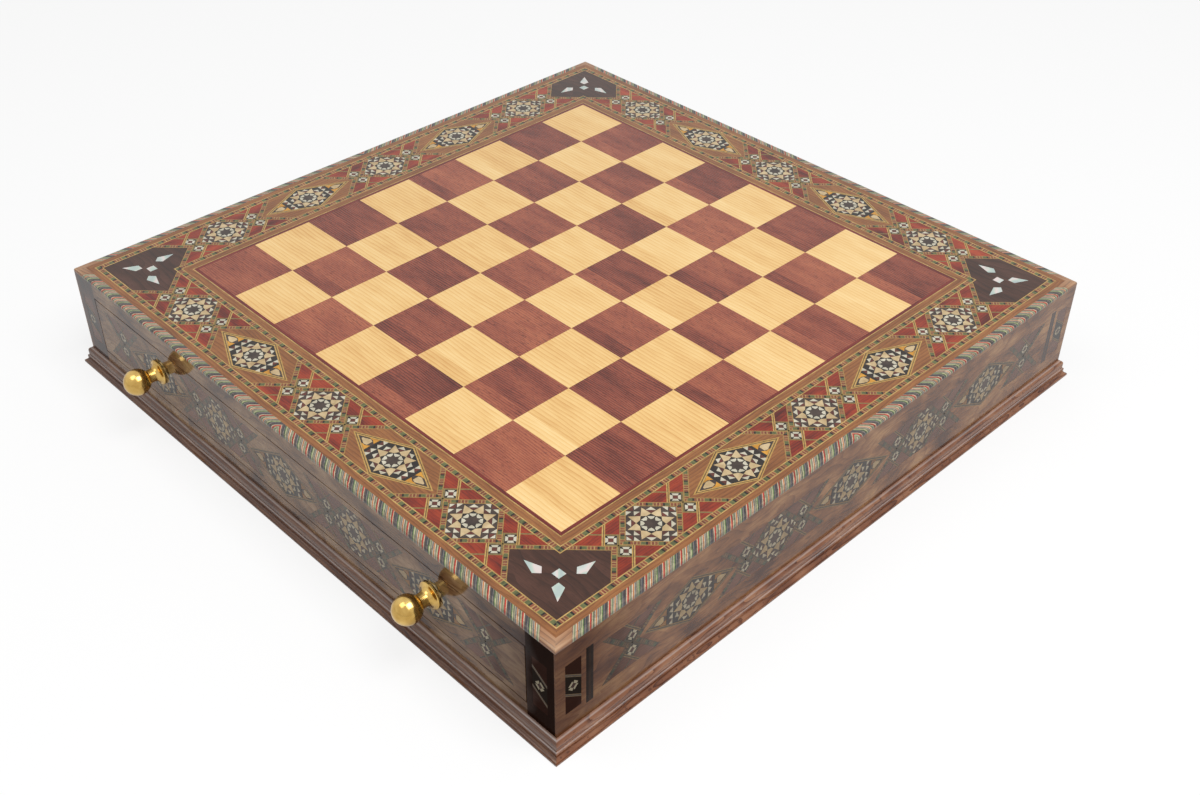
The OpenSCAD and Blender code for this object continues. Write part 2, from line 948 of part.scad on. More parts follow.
// The bottom board's rebated edge lies on the moulding's ledge, and its lower
// part fills the moulding's frame down to the baize
module bottom_board() {
    color(beech_c) {
        block([-inner_half, -inner_half, ledge_h], [inner_half, inner_half, floor_top]);
        block([-frame_half, -frame_half, baize_t], [frame_half, frame_half, ledge_h + floor_t / 2]);
    }
}

// Baize glued under the bottom board, level with the foot
module base_baize() {
    color(baize_c) block([-frame_half, -frame_half, 0], [frame_half, frame_half, baize_t]);
}

// ------------------------------------------------------------- base moulding

// Section of the moulding: X outwards from the wall's face, Y up. The walls
// stand in its rabbet. The outside has a bead, a flat, a rounded step and a cove.
module moulding_section() {
    inside = -wall_t - ledge_w;
    neck = bead_r + step_w;
    cove_r = moulding_out - neck;
    step_top = toe_h + cove_h;
    translate([inside, 0]) square([bead_r / 2 - inside, ledge_h]);
    difference() {
        square([moulding_out, toe_h + cove_r]);
        translate([moulding_out, toe_h + cove_r]) circle(cove_r);
    }
    square([neck, step_top - step_w]);
    intersection() {
        translate([bead_r, step_top - step_w]) circle(step_w);
        square([neck, step_top]);
    }
    square([bead_r, moulding_h - bead_r]);
    intersection() {
        translate([0, moulding_h - bead_r]) circle(bead_r);
        square([bead_r, moulding_h]);
    }
}

// One length of moulding along each wall, mitred at both ends
module base_moulding() {
    reach = half_w + moulding_out + cut_over;
    color(rosewood_c) four_sides() intersection() {
        translate([-reach, -half_w, 0]) rotate([90, 0, 90]) mirror([1, 0])
            linear_extrude(2 * reach) moulding_section();
        cutting_slab(0, moulding_h) polygon([[0, 0], [reach, -reach], [-reach, -reach]]);
    }
}

// ---------------------------------------------------------------- drawers
// Each piece is drawn for the front drawer; the back drawer is turned round.

// Dovetails on one end of a drawer side, seen from the side. X runs towards
// the tail's wide end. They share the height between the groove for the
// bottom and the top of the drawer back.
module tail_outline(fit = 0) {
    zone = (back_top - bottom_top - joint_fit) / tails;
    for (i = [0 : tails - 1]) translate([0, bottom_top + joint_fit + (i + 0.5) * zone])
        polygon([[-cut_over, -tail_w / 2 - fit], [0, -tail_w / 2 - fit],
                 [drawer_side_t + fit, -tail_w / 2 - tail_flare - fit],
                 [drawer_side_t + fit, tail_w / 2 + tail_flare + fit],
                 [0, tail_w / 2 + fit], [-cut_over, tail_w / 2 + fit]]);
}

// Dovetails of both drawer sides at one end, pointing along -Y
module tails_forward(y, fit = 0) {
    both_ends() translate([box_half - fit, y, 0]) rotate([90, 0, 90]) mirror([1, 0])
        linear_extrude(drawer_side_t + 2 * fit) tail_outline(fit);
}

// Dovetails at the back are as long as the back is thick
module tails_backward(y, fit = 0) {
    both_ends() translate([box_half - fit, y, 0]) rotate([90, 0, 90])
        linear_extrude(drawer_side_t + 2 * fit)
            intersection() {
                tail_outline(fit);
                translate([-cut_over, 0]) square([cut_over + drawer_back_t, total_h]);
            }
}

// The slab that the drawer's bottom takes, and the groove round it
module bottom_slab(fit = 0) {
    block([-box_half - groove_d - fit + joint_fit, -face_back - groove_d - fit + joint_fit,
           bottom_low - fit],
          [box_half + groove_d + fit - joint_fit, -drawer_end + fit, bottom_top + fit]);
}

module drawer_face() {
    color(beech_c) difference() {
        block([-face_half, -core_out, face_low], [face_half, -face_back, face_top]);
        tails_forward(-face_back, joint_fit);
        bottom_slab(joint_fit);
        knob_holes(core_out, face_back, screw_d / 2 + screw_fit);
    }
}

// Holes through the drawer front for the knob screws
module knob_holes(y_out, y_in, r) {
    both_ends() translate([knob_x, cut_over - y_in, knob_z]) rotate([90, 0, 0])
        cylinder(h = y_out - y_in + 2 * cut_over, r = r);
}

module drawer_veneer() {
    color(dark_walnut_c) difference() {
        on_front() translate([-face_half, face_low])
            square([2 * face_half, face_top - face_low]);
        on_front(veneer_t, drawer_row_z) row_openings();
    }
}

module drawer_inlay() {
    difference() {
        on_front(veneer_t, drawer_row_z) children();
        knob_holes(half_w + cut_over, core_out - cut_over, screw_d / 2 + screw_fit);
    }
}

module drawer_star_tiles() {
    color(ebony_c) drawer_inlay() {
        row_squares() star_tile();
        row_lozenges() lozenge_tile(row_lozenge_end);
        row_pairs() small_stars();
    }
}

module drawer_bone_stars() {
    color(bone_c) drawer_inlay() {
        row_squares() bone_star(kite_half);
        row_lozenges() bone_star(0);
        row_pairs() small_star_rings();
    }
}

module drawer_strips_inlay() {
    color(olive_c) on_front(veneer_t, drawer_row_z) {
        row_squares() panel_strips(square_end);
        row_lozenges() panel_strips(row_lozenge_end);
        row_end_strips();
        row_pairs() pair_lines();
        row_lozenges() lozenge_lines(row_lozenge_end);
    }
}

module drawer_padauk() {
    color(padauk_c) on_front(veneer_t, drawer_row_z) row_pairs() padauk_pieces();
}

module drawer_sides() {
    color(beech_c) difference() {
        union() {
            both_ends() block([box_half, -face_back, side_low],
                              [face_half, -back_face, side_top]);
            tails_forward(-face_back);
            tails_backward(-back_face);
        }
        bottom_slab(joint_fit);
    }
}

module drawer_back() {
    color(beech_c) difference() {
        block([-face_half, -back_face, bottom_top + joint_fit],
              [face_half, -drawer_end, back_top]);
        tails_backward(-back_face, joint_fit);
    }
}

module drawer_bottom() { color(beech_c) bottom_slab(); }

module drawer_lining() {
    color(velvet_c)
        block([-box_half, -face_back, bottom_top], [box_half, -back_face, lining_top]);
}

// Dividers halved over each other: one along the drawer, notched from above,
// and one between each two columns, notched from below
module drawer_dividers() {
    pitch_x = (2 * box_half + divider_t) / columns;
    mid_y = -(face_back + back_face) / 2;
    notch = divider_t / 2 + joint_fit;
    half_h = divider_h / 2;
    divider_top = lining_top + divider_h;
    color(velvet_c) {
        difference() {
            block([-box_half, mid_y - divider_t / 2, lining_top],
                  [box_half, mid_y + divider_t / 2, divider_top]);
            for (i = [1 : columns - 1]) translate([i * pitch_x - box_half, 0, 0])
                block([-divider_t / 2 - notch, mid_y - divider_t,
                       lining_top + half_h - joint_fit],
                      [notch - divider_t / 2, mid_y + divider_t, divider_top + cut_over]);
        }
        for (i = [1 : columns - 1]) translate([i * pitch_x - box_half, 0, 0])
            difference() {
                block([-divider_t, -face_back, lining_top], [0, -back_face, divider_top]);
                block([-divider_t - cut_over, mid_y - notch, lining_top - cut_over],
                      [cut_over, mid_y + notch, lining_top + half_h + joint_fit]);
            }
    }
}

// A turned ball knob: foot plate, hollow flare, neck and ball, bored for its
// screw. The profile has the radius on X and the distance from the face on Y.
module knob_profile() {
    flare_r = (flange_d - neck_d) / 2;
    difference() {
        union() {
            square([flange_d / 2, flange_t]);
            square([neck_d / 2, ball_out]);
            difference() {
                translate([0, flange_t]) square([flange_d / 2, flare_r]);
                translate([flange_d / 2, flange_t + flare_r]) circle(flare_r);
            }
            intersection() {
                translate([0, ball_out]) circle(ball_d / 2);
                square([ball_d, ball_out + ball_d]);
            }
        }
        square([screw_d / 2 + screw_fit, screw_grip + bore_spare]);
    }
}

module drawer_knobs() {
    color(brass_c) both_ends() translate([knob_x, -half_w, knob_z]) rotate([90, 0, 0])
        rotate_extrude() knob_profile();
}

module drawer_screws() {
    color(steel_c) both_ends() translate([knob_x, -face_back, knob_z]) rotate([90, 0, 0]) {
        cylinder(h = drawer_front_t + screw_grip, d = screw_d);
        translate([0, 0, -screw_head_h]) cylinder(h = screw_head_h, d = screw_head_d);
    }
}

module turned() { rotate(180) children(); }

// ---------------------------------------------------------------- nodes

top_core();
light_squares();
dark_squares();
field_red_line();
top_pale_lines();
top_star_lines();
top_walnut();
top_mosaic_strips();
top_slanting_strips();
top_corner_panels();
top_pearl();
top_star_tiles();
top_bone_stars();
top_padauk();
striped_edging();
edge_corners();
side_walls();
side_veneers();
side_star_tiles();
side_bone_stars();
side_slanting_strips();
side_padauk();
side_lines();
corner_stiles();
top_rails();
bottom_rails();
partition();
drawer_runners();
drawer_guides();
drawer_kickers();
drawer_stops();
bottom_board();
base_baize();
base_moulding();
drawer_face();  // front_drawer_face
drawer_veneer();  // front_drawer_veneer
drawer_star_tiles();  // front_drawer_star_tiles
drawer_bone_stars();  // front_drawer_bone_stars
drawer_strips_inlay();  // front_drawer_strips
drawer_padauk();  // front_drawer_padauk
drawer_sides();  // front_drawer_sides
drawer_back();  // front_drawer_back
drawer_bottom();  // front_drawer_bottom
drawer_lining();  // front_drawer_lining
drawer_dividers();  // front_drawer_dividers
drawer_knobs();  // front_drawer_knobs
drawer_screws();  // front_drawer_screws
turned() drawer_face();  // back_drawer_face
turned() drawer_veneer();  // back_drawer_veneer
turned() drawer_star_tiles();  // back_drawer_star_tiles
turned() drawer_bone_stars();  // back_drawer_bone_stars
turned() drawer_strips_inlay();  // back_drawer_strips
turned() drawer_padauk();  // back_drawer_padauk
turned() drawer_sides();  // back_drawer_sides
turned() drawer_back();  // back_drawer_back
turned() drawer_bottom();  // back_drawer_bottom
turned() drawer_lining();  // back_drawer_lining
turned() drawer_dividers();  // back_drawer_dividers
turned() drawer_knobs();  // back_drawer_knobs
turned() drawer_screws();  // back_drawer_screws
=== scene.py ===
"""Looks of an inlaid chess box: lacquered marquetry, a moulded foot, turned knobs and lined drawers.

Every size is in metres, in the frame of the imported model: +Z up, the front drawer towards -Y.
"""

import logging
import math
from abc import ABC, abstractmethod
from dataclasses import dataclass, field
from enum import Enum

import bmesh
import bpy
from mathutils import Matrix, Quaternion, Vector


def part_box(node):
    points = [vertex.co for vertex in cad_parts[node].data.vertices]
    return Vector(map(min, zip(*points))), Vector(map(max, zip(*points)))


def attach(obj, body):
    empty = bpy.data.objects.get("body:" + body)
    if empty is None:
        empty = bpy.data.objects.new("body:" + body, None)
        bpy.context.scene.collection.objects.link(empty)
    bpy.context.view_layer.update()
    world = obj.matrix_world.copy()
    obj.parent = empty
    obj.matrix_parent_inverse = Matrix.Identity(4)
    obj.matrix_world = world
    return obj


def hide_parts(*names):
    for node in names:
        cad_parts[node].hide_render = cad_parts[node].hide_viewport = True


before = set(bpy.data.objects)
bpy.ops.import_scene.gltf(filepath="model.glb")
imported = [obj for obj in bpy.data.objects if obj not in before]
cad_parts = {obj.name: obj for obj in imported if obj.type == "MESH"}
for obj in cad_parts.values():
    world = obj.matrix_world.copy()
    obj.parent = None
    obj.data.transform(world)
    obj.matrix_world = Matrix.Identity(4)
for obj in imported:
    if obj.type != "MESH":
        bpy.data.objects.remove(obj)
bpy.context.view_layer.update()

LOG = logging.getLogger("chess_box")
MM = 0.001
ROOT_2 = math.sqrt(2)


def tint(code: str) -> tuple[float, float, float, float]:
    """Turns a colour as it looks on a screen into scene light.

    Args:
        code: Six hexadecimal digits, red first.

    Returns:
        Linear red, green and blue, and an alpha of 1.
    """
    parts = [int(code[i : i + 2], 16) / 255 for i in (0, 2, 4)]
    linear = [c / 12.92 if c <= 0.04045 else ((c + 0.055) / 1.055) ** 2.4 for c in parts]
    return (*linear, 1.0)


# ---------------------------------------------------------------- shader maths


class Val:
    """A number on a shader socket. Arithmetic on it adds Math nodes."""

    def __init__(self, shop: "Shop", socket: bpy.types.NodeSocket) -> None:
        """Keeps the socket that carries the number, and the shop that adds nodes."""
        self.shop = shop
        self.socket = socket

    def maths(self, operation: str, *others: "Val | float", swap: bool = False) -> "Val":
        """Adds one Math node.

        Args:
            operation: The Math node's operation.
            others: The other terms.
            swap: True to put this number after the others.

        Returns:
            The node's result.
        """
        terms = (*others, self) if swap else (self, *others)
        node = self.shop.add("ShaderNodeMath", {"operation": operation}, dict(enumerate(terms)))
        return Val(self.shop, node.outputs[0])

    def __add__(self, other: "Val | float") -> "Val":
        """This number plus another."""
        return self.maths("ADD", other)

    def __radd__(self, other: float) -> "Val":
        """A plain number plus this one."""
        return self.maths("ADD", other)

    def __sub__(self, other: "Val | float") -> "Val":
        """This number less another."""
        return self.maths("SUBTRACT", other)

    def __rsub__(self, other: float) -> "Val":
        """A plain number less this one."""
        return self.maths("SUBTRACT", other, swap=True)

    def __mul__(self, other: "Val | float") -> "Val":
        """This number times another."""
        return self.maths("MULTIPLY", other)

    def __rmul__(self, other: float) -> "Val":
        """A plain number times this one."""
        return self.maths("MULTIPLY", other)

    def __truediv__(self, other: "Val | float") -> "Val":
        """This number over another."""
        return self.maths("DIVIDE", other)

    def __pow__(self, other: float) -> "Val":
        """This number to a power."""
        return self.maths("POWER", other)

    def __abs__(self) -> "Val":
        """This number without its sign."""
        return self.maths("ABSOLUTE")

    def __gt__(self, other: "Val | float") -> "Val":
        """1 where this number is larger, and 0 elsewhere."""
        return self.maths("GREATER_THAN", other)

    def __lt__(self, other: "Val | float") -> "Val":
        """1 where this number is smaller, and 0 elsewhere."""
        return self.maths("LESS_THAN", other)

    def at_least(self, other: "Val | float") -> "Val":
        """This number or another, whichever is larger."""
        return self.maths("MAXIMUM", other)

    def at_most(self, other: "Val | float") -> "Val":
        """This number or another, whichever is smaller."""
        return self.maths("MINIMUM", other)

    def part(self) -> "Val":
        """What is left of this number above a whole one."""
        return self.maths("FRACT")

    def whole(self) -> "Val":
        """The whole number below this one."""
        return self.maths("FLOOR")

    def wave(self) -> "Val":
        """The sine of this number."""
        return self.maths("SINE")


Number = Val | float
Socket = bpy.types.NodeSocket
Colour = bpy.types.NodeSocket | tuple[float, float, float, float]


class Shop:
    """The workshop for one material or sky: it adds nodes, feeds them and closes the material."""

    def __init__(self, name: str, sky: bpy.types.World | None = None) -> None:
        """Starts an empty material, or empties a sky.

        Args:
            name: The material's name.
            sky: The sky to work on in place of a new material.
        """
        self.material = sky or bpy.data.materials.new(name)
        self.material.use_nodes = True
        self.tree = self.material.node_tree
        self.tree.nodes.clear()

    def add(self, kind: str, settings: dict | None = None, values: dict | None = None) -> bpy.types.Node:
        """Adds a node, sets it, and feeds its sockets.

        Args:
            kind: The node's type.
            settings: Its settings; the stops of a ramp are pairs of place and colour.
            values: What each socket, by name or number, is set to or linked from.

        Returns:
            The new node.
        """
        node = self.tree.nodes.new(kind)
        for name, value in (settings or {}).items():
            if name == "stops":
                ramp = node.color_ramp.elements
                while len(ramp) < len(value):
                    ramp.new(1.0)
                for stop, (place, colour) in zip(ramp, value):
                    stop.position, stop.color = place, colour
            elif name == "interpolation" and kind == "ShaderNodeValToRGB":
                node.color_ramp.interpolation = value
            else:
                setattr(node, name, value)
        for name, value in (values or {}).items():
            if isinstance(value, Val):
                value = value.socket
            if isinstance(value, bpy.types.NodeSocket):
                self.tree.links.new(value, node.inputs[name])
            else:
                node.inputs[name].default_value = value
        return node

    def place(self) -> tuple[Val, Val, Val]:
        """Where the surface is on the box, as three numbers."""
        spot = self.add("ShaderNodeTexCoord").outputs["Object"]
        axes = self.add("ShaderNodeSeparateXYZ", values={0: spot})
        return tuple(Val(self, socket) for socket in axes.outputs)

    def lay(self) -> tuple[Val, Val]:
        """Where the surface is along and across a laid strip."""
        spot = self.add("ShaderNodeUVMap", {"uv_map": "lay"}).outputs[0]
        axes = self.add("ShaderNodeSeparateXYZ", values={0: spot})
        return Val(self, axes.outputs[0]), Val(self, axes.outputs[1])

    def point(self, x: Number, y: Number, z: Number) -> Socket:
        """Three numbers as one place."""
        return self.add("ShaderNodeCombineXYZ", values={0: x, 1: y, 2: z}).outputs[0]

    def noise(self, x: Number, y: Number, z: Number, detail: float) -> Val:
        """Soft noise about 0.5, with one blotch to each unit of its place.

        Args:
            x: First coordinate, in blotches.
            y: Second coordinate.
            z: Third coordinate.
            detail: How many finer layers it has.

        Returns:
            A number from 0 to 1.
        """
        values = {"Vector": self.point(x, y, z), "Scale": 1.0, "Detail": detail, "Roughness": 0.55}
        return Val(self, self.add("ShaderNodeTexNoise", values=values).outputs["Fac"])

    def cloud(self, blotches: float, detail: float) -> Val:
        """Soft noise that is the same in every direction of the box.

        Args:
            blotches: How many blotches there are to the metre.
            detail: How many finer layers it has.

        Returns:
            A number from 0 to 1.
        """
        return self.noise(*(axis * blotches for axis in self.place()), detail)

    def chance(self, x: Number, y: Number, seed: float) -> Val:
        """A number that changes at random from place to place.

        Args:
            x: First coordinate.
            y: Second coordinate.
            seed: A number that tells one set of places from another.

        Returns:
            A number from 0 to 1.
        """
        values = {"Vector": self.point(x, y, seed)}
        node = self.add("ShaderNodeTexWhiteNoise", {"noise_dimensions": "3D"}, values)
        return Val(self, node.outputs["Value"])

    def ramp(self, value: Val, stops: list, stepped: bool = False) -> Socket:
        """Colours along a number.

        Args:
            value: The number, from 0 to 1.
            stops: Pairs of place and hexadecimal colour.
            stepped: True for colours with hard edges.

        Returns:
            The colour.
        """
        settings = {
            "interpolation": "CONSTANT" if stepped else "LINEAR",
            "stops": [(place, tint(code)) for place, code in stops],
        }
        return self.add("ShaderNodeValToRGB", settings, {0: value}).outputs[0]

    def mix(self, amount: Number, a: Colour, b: Colour, way: str = "MIX") -> Socket:
        """One colour over another.

        Args:
            amount: How much of the second shows.
            a: The first colour.
            b: The second colour.
            way: The Mix node's blend type.

        Returns:
            The mixed colour.
        """
        settings = {"data_type": "RGBA", "blend_type": way}
        return self.add("ShaderNodeMix", settings, {0: amount, 6: a, 7: b}).outputs[2]

    def bump(self, height: Val, depth: float, strength: float) -> Socket:
        """A surface that rises and falls.

        Args:
            height: The height, from 0 to 1.
            depth: How high 1 is, in metres.
            strength: How much of it shows.

        Returns:
            The normal.
        """
        values = {"Height": height, "Distance": depth, "Strength": strength}
        return self.add("ShaderNodeBump", values=values).outputs[0]

    def close(self, sockets: dict) -> bpy.types.Material:
        """Ends the material with its surface.

        Args:
            sockets: What the sockets of the surface shader are set to or linked from.

        Returns:
            The finished material.
        """
        surface = self.add("ShaderNodeBsdfPrincipled", values=sockets)
        self.add("ShaderNodeOutputMaterial", values={"Surface": surface.outputs[0]})
        return self.material


# ---------------------------------------------------------------- finishes


class Run(Enum):
    """Which way a veneer's grain runs."""

    ALONG_X = "x"
    ALONG_Y = "y"
    UPRIGHT = "z"
    ROUND = "round"


COAT_ROUGH = 0.05  # of the clear lacquer
COAT_IOR = 1.4
MIDDLE = 0.5  # of noise, and of a tone
CORNER_SHADE_TINT = "1A120E"  # painted shade: the colour marquetry darkens to towards the front right corner


def lacquered(colour: Colour, rough: Number, coat: Number = 1.0, normal: Socket | None = None) -> dict:
    """The surface of wood, bone or shell under clear gloss lacquer.

    Args:
        colour: The colour under the lacquer.
        rough: The roughness under the lacquer.
        coat: How much lacquer there is.
        normal: The normal of the surface under the lacquer, if it isn't smooth.

    Returns:
        Values for the surface shader's sockets.
    """
    sockets = {
        "Base Color": colour,
        "Roughness": rough,
        "Specular IOR Level": 0.0,
        "Coat Weight": coat,
        "Coat Roughness": COAT_ROUGH,
        "Coat IOR": COAT_IOR,
    }
    if normal is not None:
        sockets["Normal"] = normal
    return sockets


@dataclass(frozen=True)
class CornerShade:
    """The corner at the front right, painted in shade: darker wood under thinner lacquer."""

    start: float = 150 * MM
    over: float = 50 * MM
    clouds: float = 50.0
    ragged: float = 30 * MM

    def age(self, shop: Shop, colour: Colour, dark: str, amount: float) -> tuple[Colour, Number]:
        """Paints shade: darkens the wood and thins the lacquer towards the corner.

        Args:
            shop: The material's workshop.
            colour: The colour of the wood.
            dark: The colour that it darkens to.
            amount: How far both change at the corner itself, or 0 for wood that doesn't change.

        Returns:
            The colour, and how much lacquer there is.
        """
        if not amount:
            return colour, 1.0
        x, y, _ = shop.place()
        cloud = shop.cloud(self.clouds, 2.0) - MIDDLE
        reach = x.at_most(y * -1.0) + cloud * self.ragged
        share = ((reach - self.start) / self.over).at_least(0.0).at_most(1.0) * amount
        return shop.mix(share, colour, tint(dark)), 1.0 - share


@dataclass(frozen=True)
class RoundedEdge:
    """The board's rounded edge: a painted highlight on the rounding, wider and stronger at the corners,
    and painted shade below the rounding.
    """

    corner_from: float = 196 * MM
    corner_over: float = 16 * MM
    highlight_depth: float = 0.5 * MM
    highlight_half: float = 0.5 * MM
    highlight_spread: float = 0.6 * MM
    edge_highlight: float = 0.06
    corner_highlight: float = 0.3
    dim_from: float = 0.7 * MM
    dim_over: float = 1.2 * MM
    dim: float = 0.3

    def paint_edge_light(self, shop: Shop, colour: Colour, top: float) -> Socket:
        """Paints the highlight and the shade onto the colour of the edge.

        Args:
            shop: The material's workshop.
            colour: The colour of the wood.
            top: The height of the board's top.

        Returns:
            The colour.
        """
        x, y, z = shop.place()
        depth = top - z
        corner = ((abs(x).at_most(abs(y)) - self.corner_from) / self.corner_over).at_least(0.0)
        reach = corner * self.highlight_spread + self.highlight_half
        pale = (1.0 - abs(depth - self.highlight_depth) / reach).at_least(0.0)
        dim = ((depth - self.dim_from) / self.dim_over).at_least(0.0).at_most(1.0)
        # painted highlight along the rounding
        colour = shop.mix(pale * (corner * self.corner_highlight + self.edge_highlight), colour, tint("E8CCAA"))
        # painted shade below the rounding
        return shop.mix(dim * self.dim, colour, tint("2C2A2C"))


@dataclass(frozen=True)
class Layer:
    """One layer of noise in wood: its blotches to the metre each way, and its finer layers."""

    along: float
    across: float
    depth: float
    detail: float

    def read(self, shop: Shop, along: Val, across: Val, depth: Val) -> Val:
        """The layer's value at a place, from 0 to 1."""
        return shop.noise(along * self.along, across * self.across, depth * self.depth, self.detail)


DRIFT = Layer(14.0, 40.0, 9.0, 2.0)
FIGURE = Layer(30.0, 110.0, 7.0, 3.0)
SWIRL = Layer(38.0, 62.0, 5.0, 3.0)
FIBRE = Layer(90.0, 1700.0, 5.0, 2.0)
PORES = Layer(260.0, 2600.0, 11.0, 1.0)
RING_WANDER = 4.0  # rings that the drift moves a growth line, at a wander of 1
LINE_POWER, LINE_MEAN = 3.0, 0.25  # a growth line darkens to one side of its ring
FIBRE_TONE = 0.35  # how much the fibres change the tone
PORE_FROM, PORE_DEPTH = 0.63, 0.6  # the noise above which there is a pore, and how deep it is
GRAIN_DEPTH, GRAIN_BUMP = 0.04 * MM, 0.25
WOOD_ROUGH, PORE_ROUGH, BARE_ROUGH = 0.38, 0.2, 0.2  # the last two add to the first
SHIFT_SEED, SLIP_SEED, TONE_SEED = 3.0, 8.0, 5.0
FAR_ALONG, FAR_ACROSS, FAR_DEEP = 1.7, 0.4, 2.0  # how far apart neighbouring pieces come from, at most
SIDE_DEEP, FACE_DEEP = 0.3, 0.7  # set the four sides of a band apart in the wood
HIGHLIGHT_REACH, HIGHLIGHT_SHARE = 0.35 * MM, 0.4  # half width of a painted highlight line, and how pale it is


@dataclass(frozen=True)
class Finish(ABC):
    """What a piece looks like."""

    name: str

    @abstractmethod
    def make(self) -> bpy.types.Material:
        """Builds the material."""


@dataclass(frozen=True)
class Wood(Finish):
    """A veneer or solid wood: growth lines, wandering figure, fibres and pores."""

    dark: str
    middle: str
    light: str
    run: Run = Run.ALONG_X
    ring: float = 3.2 * MM
    wander: float = 1.2
    lines: float = 0.45
    figure: float = 0.35
    clouds: float = 0.0
    pores: float = 0.35
    cell: float = 0.0
    cell_change: float = 0.15
    glossy: bool = True
    corner_shade: float = 0.0
    highlight_heights: tuple[float, ...] = ()
    front_back_shade: float = 0.0
    top: float = 0.0

    def grain(self, shop: Shop) -> tuple[Val, Val, Val]:
        """Distances along and across the grain, and a depth that differs from piece to piece.

        Args:
            shop: The material's workshop.

        Returns:
            The three distances, in metres.
        """
        x, y, z = shop.place()
        if self.run is Run.ALONG_X:
            along, across, depth = x, y + z, z
        elif self.run is Run.ALONG_Y:
            along, across, depth = y, x + z, z
        elif self.run is Run.UPRIGHT:
            along, across, depth = z, x + y, x - y
        else:
            side = abs(x) > abs(y)
            along = x + (y - x) * side
            across = y + (x - y) * side + z
            depth = side * SIDE_DEEP + (across > 0.0) * FACE_DEEP
        return along, across, depth

    def pieced(self, shop: Shop, along: Val, across: Val, depth: Val) -> tuple[Val, Val, Val, Val]:
        """Gives each square piece its own place in the wood and its own tone.

        Args:
            shop: The material's workshop.
            along: The distance along the grain.
            across: The distance across it.
            depth: The depth.

        Returns:
            The three distances in the wood, and how much lighter or darker the piece is.
        """
        column, row = (along / self.cell).whole(), (across / self.cell).whole()
        shift = shop.chance(column, row, SHIFT_SEED)
        slip = shop.chance(row, column, SLIP_SEED)
        tone = (shop.chance(column, row, TONE_SEED) - MIDDLE) * self.cell_change
        return along + shift * FAR_ALONG, across + slip * FAR_ACROSS, depth + shift * FAR_DEEP, tone

    def colour(self, shop: Shop, tone: Val, pore: Val) -> Socket:
        """The wood's colour before painted shade and highlights are added.

        Args:
            shop: The material's workshop.
            tone: How light the wood is, from 0 to 1.
            pore: 1 in a pore, and 0 elsewhere.

        Returns:
            The colour.
        """
        colour = shop.ramp(tone, [(0.12, self.dark), (0.5, self.middle), (0.88, self.light)])
        return shop.mix(pore * self.pores, colour, tint(self.dark))

    def with_painted_light(self, shop: Shop, colour: Colour) -> Colour:
        """The colour with painted light: the rounded edge's painted highlight and shade, or painted
        highlight lines along the ridges and painted shade on the front and back sides.

        Args:
            shop: The material's workshop.
            colour: The colour before it.

        Returns:
            The colour.
        """
        # painted highlight and shade on the rounded edge
        if self.top:
            colour = RoundedEdge().paint_edge_light(shop, colour, self.top)
        if self.highlight_heights:
            x, y, z = shop.place()
            # painted shade: the front and back sides darker
            colour = shop.mix((abs(y) > abs(x)) * self.front_back_shade, colour, tint("33302F"))
            # painted highlights along the ridges
            for height in self.highlight_heights:
                near = (1.0 - abs(z - height) / HIGHLIGHT_REACH).at_least(0.0)
                colour = shop.mix(near * HIGHLIGHT_SHARE, colour, tint("C4BCB8"))
        return colour

    def make(self) -> bpy.types.Material:
        """Builds the material.

        Returns:
            The material.
        """
        shop = Shop(self.name)
        spot = self.grain(shop)
        tone = MIDDLE
        if self.cell:
            *spot, change = self.pieced(shop, *spot)
            tone = tone + change
        drift = DRIFT.read(shop, *spot) * self.wander * RING_WANDER
        line = (spot[1] / self.ring + drift).part() ** LINE_POWER - LINE_MEAN
        figure = FIGURE.read(shop, *spot) - MIDDLE
        fibre = FIBRE.read(shop, *spot) - MIDDLE
        pore = PORES.read(shop, *spot) > PORE_FROM
        tone = figure * (2.0 * self.figure) - line * self.lines + fibre * FIBRE_TONE + tone
        if self.clouds:
            tone = tone + (SWIRL.read(shop, *spot) - MIDDLE) * (2.0 * self.clouds)
        rough = pore * PORE_ROUGH + WOOD_ROUGH
        normal = shop.bump(fibre - pore * PORE_DEPTH, GRAIN_DEPTH, GRAIN_BUMP)
        colour = self.colour(shop, tone, pore)
        # painted shade towards the front right corner
        colour, lacquer = CornerShade().age(shop, colour, self.dark, self.corner_shade)
        colour = self.with_painted_light(shop, colour)
        if self.glossy:
            return shop.close(lacquered(colour, rough, lacquer, normal))
        return shop.close({"Base Color": colour, "Roughness": rough + BARE_ROUGH, "Normal": normal})


COUNT_FROM = 40.0  # periods that keep the count above 0 over the whole box
ROWS = 260.0  # rows of sticks to the metre across a band
SHADE_SEED, SHADE_SHARE, GRAIN_SHARE = 2.0, 0.5, 0.6  # how much sticks and grain change the tone


